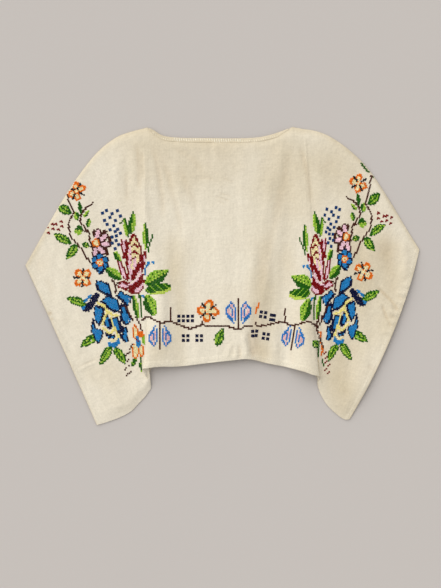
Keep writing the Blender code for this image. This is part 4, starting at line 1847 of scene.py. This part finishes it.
def fold_line(over_fold, side):
    """Heights, edge and column of the body's outermost fold: where the cloth begins to run back in x."""
    near = over_fold + np.linspace(min(4 * side, -1), max(4 * side, 1), 101)
    at, share = np.meshgrid(near, np.linspace(PLEAT_START, 1.0, 60))
    points = front_surface(at, share)
    running_back = np.diff(points[..., 0], axis=1) < 0.0
    rows = np.flatnonzero(running_back.any(axis=1))
    first = running_back[rows].argmax(axis=1)
    last = running_back.shape[1] - running_back[rows, ::-1].argmax(axis=1)
    edge = last if side < 0 else first
    found = points[rows, edge]
    order = np.argsort(found[:, 1])
    return found[order, 1], found[order, 0], at[rows, edge][order]


LEFT_FOLD = fold_line(LEFT_OVER_FOLD, -1)
RIGHT_FOLD = fold_line(RIGHT_OVER_FOLD, 1)


def folded_away(at, x, y):
    """Whether a place of the front lies in a pleat or under the body's outermost fold."""
    hidden = np.zeros(at.shape, bool)
    for (heights, edges, columns), side in ((LEFT_FOLD, -1), (RIGHT_FOLD, 1)):
        edge, column = np.interp(y, heights, edges), np.interp(y, heights, columns)
        beside = (at - column) * side
        under = (beside > 0.0) & (beside < FOLD_REACH) & ((edge - x) * side > -FOLD_CLEAR)
        hidden |= under & (y < heights[-1])
    return hidden


def place_on_front(centres):
    """Column numbers and shares of the front's known points that stand nearest to places seen from above."""
    columns = np.linspace(0, LAST, SEARCH_COLUMNS * LAST + 1)
    at, share = np.meshgrid(columns, np.linspace(0.01, 0.995, SEARCH_ROWS))
    known = fine_front(at, share)[..., :2]
    shown = ~folded_away(at, known[..., 0], known[..., 1])
    at, share, known = at[shown], share[shown], known[shown]
    nearest = np.concatenate([
        np.argmin(((lot[:, None] - known[None]) ** 2).sum(axis=-1), axis=1)
        for lot in np.array_split(centres, max(1, len(centres) // 400))
    ])
    return at[nearest], share[nearest]


def settle(at, share, targets):
    """Newton's method: moves column numbers and shares until the front passes through the targets."""
    for _ in range(NEWTON_STEPS):
        off = targets - fine_front(at, share)[..., :2]
        by_at, by_share = (slope[..., :2] for slope in slopes(fine_front, at, share))
        size = by_at[..., 0] * by_share[..., 1] - by_at[..., 1] * by_share[..., 0]
        size = np.where(np.abs(size) < 1.0, np.where(size < 0.0, -1.0, 1.0), size)
        step_at = (off[..., 0] * by_share[..., 1] - off[..., 1] * by_share[..., 0]) / size
        step_share = (by_at[..., 0] * off[..., 1] - by_at[..., 1] * off[..., 0]) / size
        at = np.clip(at + np.clip(step_at, -0.3, 0.3), 0.0, LAST)
        share = np.clip(share + np.clip(step_share, -0.03, 0.03), 0.0, 1.0)
    off = np.linalg.norm(targets - fine_front(at, share)[..., :2], axis=-1)
    return at, share, off


def on_cloth(corners, colours):
    """Corners of the stitches as points of the cloth's face with normals, without those that miss it."""
    centres = corners.mean(axis=1)
    at, share = place_on_front(centres)
    at, share, off = settle(at, share, centres)
    hit = (off < MISS) & ~folded_away(at, centres[:, 0], centres[:, 1])
    corners, colours = corners[hit], colours[hit]
    at = np.repeat(at[hit][:, None], 4, axis=1)
    share = np.repeat(share[hit][:, None], 4, axis=1)
    at, share, off = settle(at, share, corners)
    hit = (off < MISS).all(axis=1)
    at, share, colours = at[hit], share[hit], colours[hit]
    points, normals = top_of_front(at, share)
    return points, normals, colours


corners, normals, colours = on_cloth(
    np.concatenate([left_corners, right_corners, fold_corners, hem_corners]),
    np.concatenate([left_colours, right_colours, fold_colours, hem_colours]),
)
print(len(colours), "stitches lie on cloth that shows")

# %% Work the stitches
FLOSS_HALF_WIDTH = 0.82
FLOSS_HALF_HEIGHT = 0.3
UNDER_ARCH = 0.18
OVER_ARCH = 0.55
HAND = 0.10  # unevenness of a hand's stitches, in millimetres

hand = np.random.default_rng(7)
corners = corners + hand.normal(0.0, HAND, corners.shape) * np.array([1.0, 1.0, 0.3])
stitch_normals = unit(normals.mean(axis=1))
for number, colour in enumerate(COLOURS):
    mine = colours == number
    if not mine.any():
        continue
    ones = np.ones(mine.sum())
    width = FLOSS_HALF_WIDTH * hand.uniform(0.9, 1.1, mine.sum())
    size = (width, FLOSS_HALF_HEIGHT * ones)
    lots = []
    for start, end, arch in ((0, 1, UNDER_ARCH), (2, 3, OVER_ARCH)):
        ends = corners[mine, start], corners[mine, end]
        lots.append(strands(*ends, stitch_normals[mine], *size, arch * ones))
    points, faces, uv = join_strands(lots)
    name = "stitches_" + colour.replace(" ", "_")
    floss = thread_material("floss_" + colour.replace(" ", "_"), linear(*THREADS[colour]), 0.03)
    piece_from(name, points, faces, floss, [("thread", uv)])
    print(name, mine.sum(), "stitches", 2 * len(faces), "triangles")
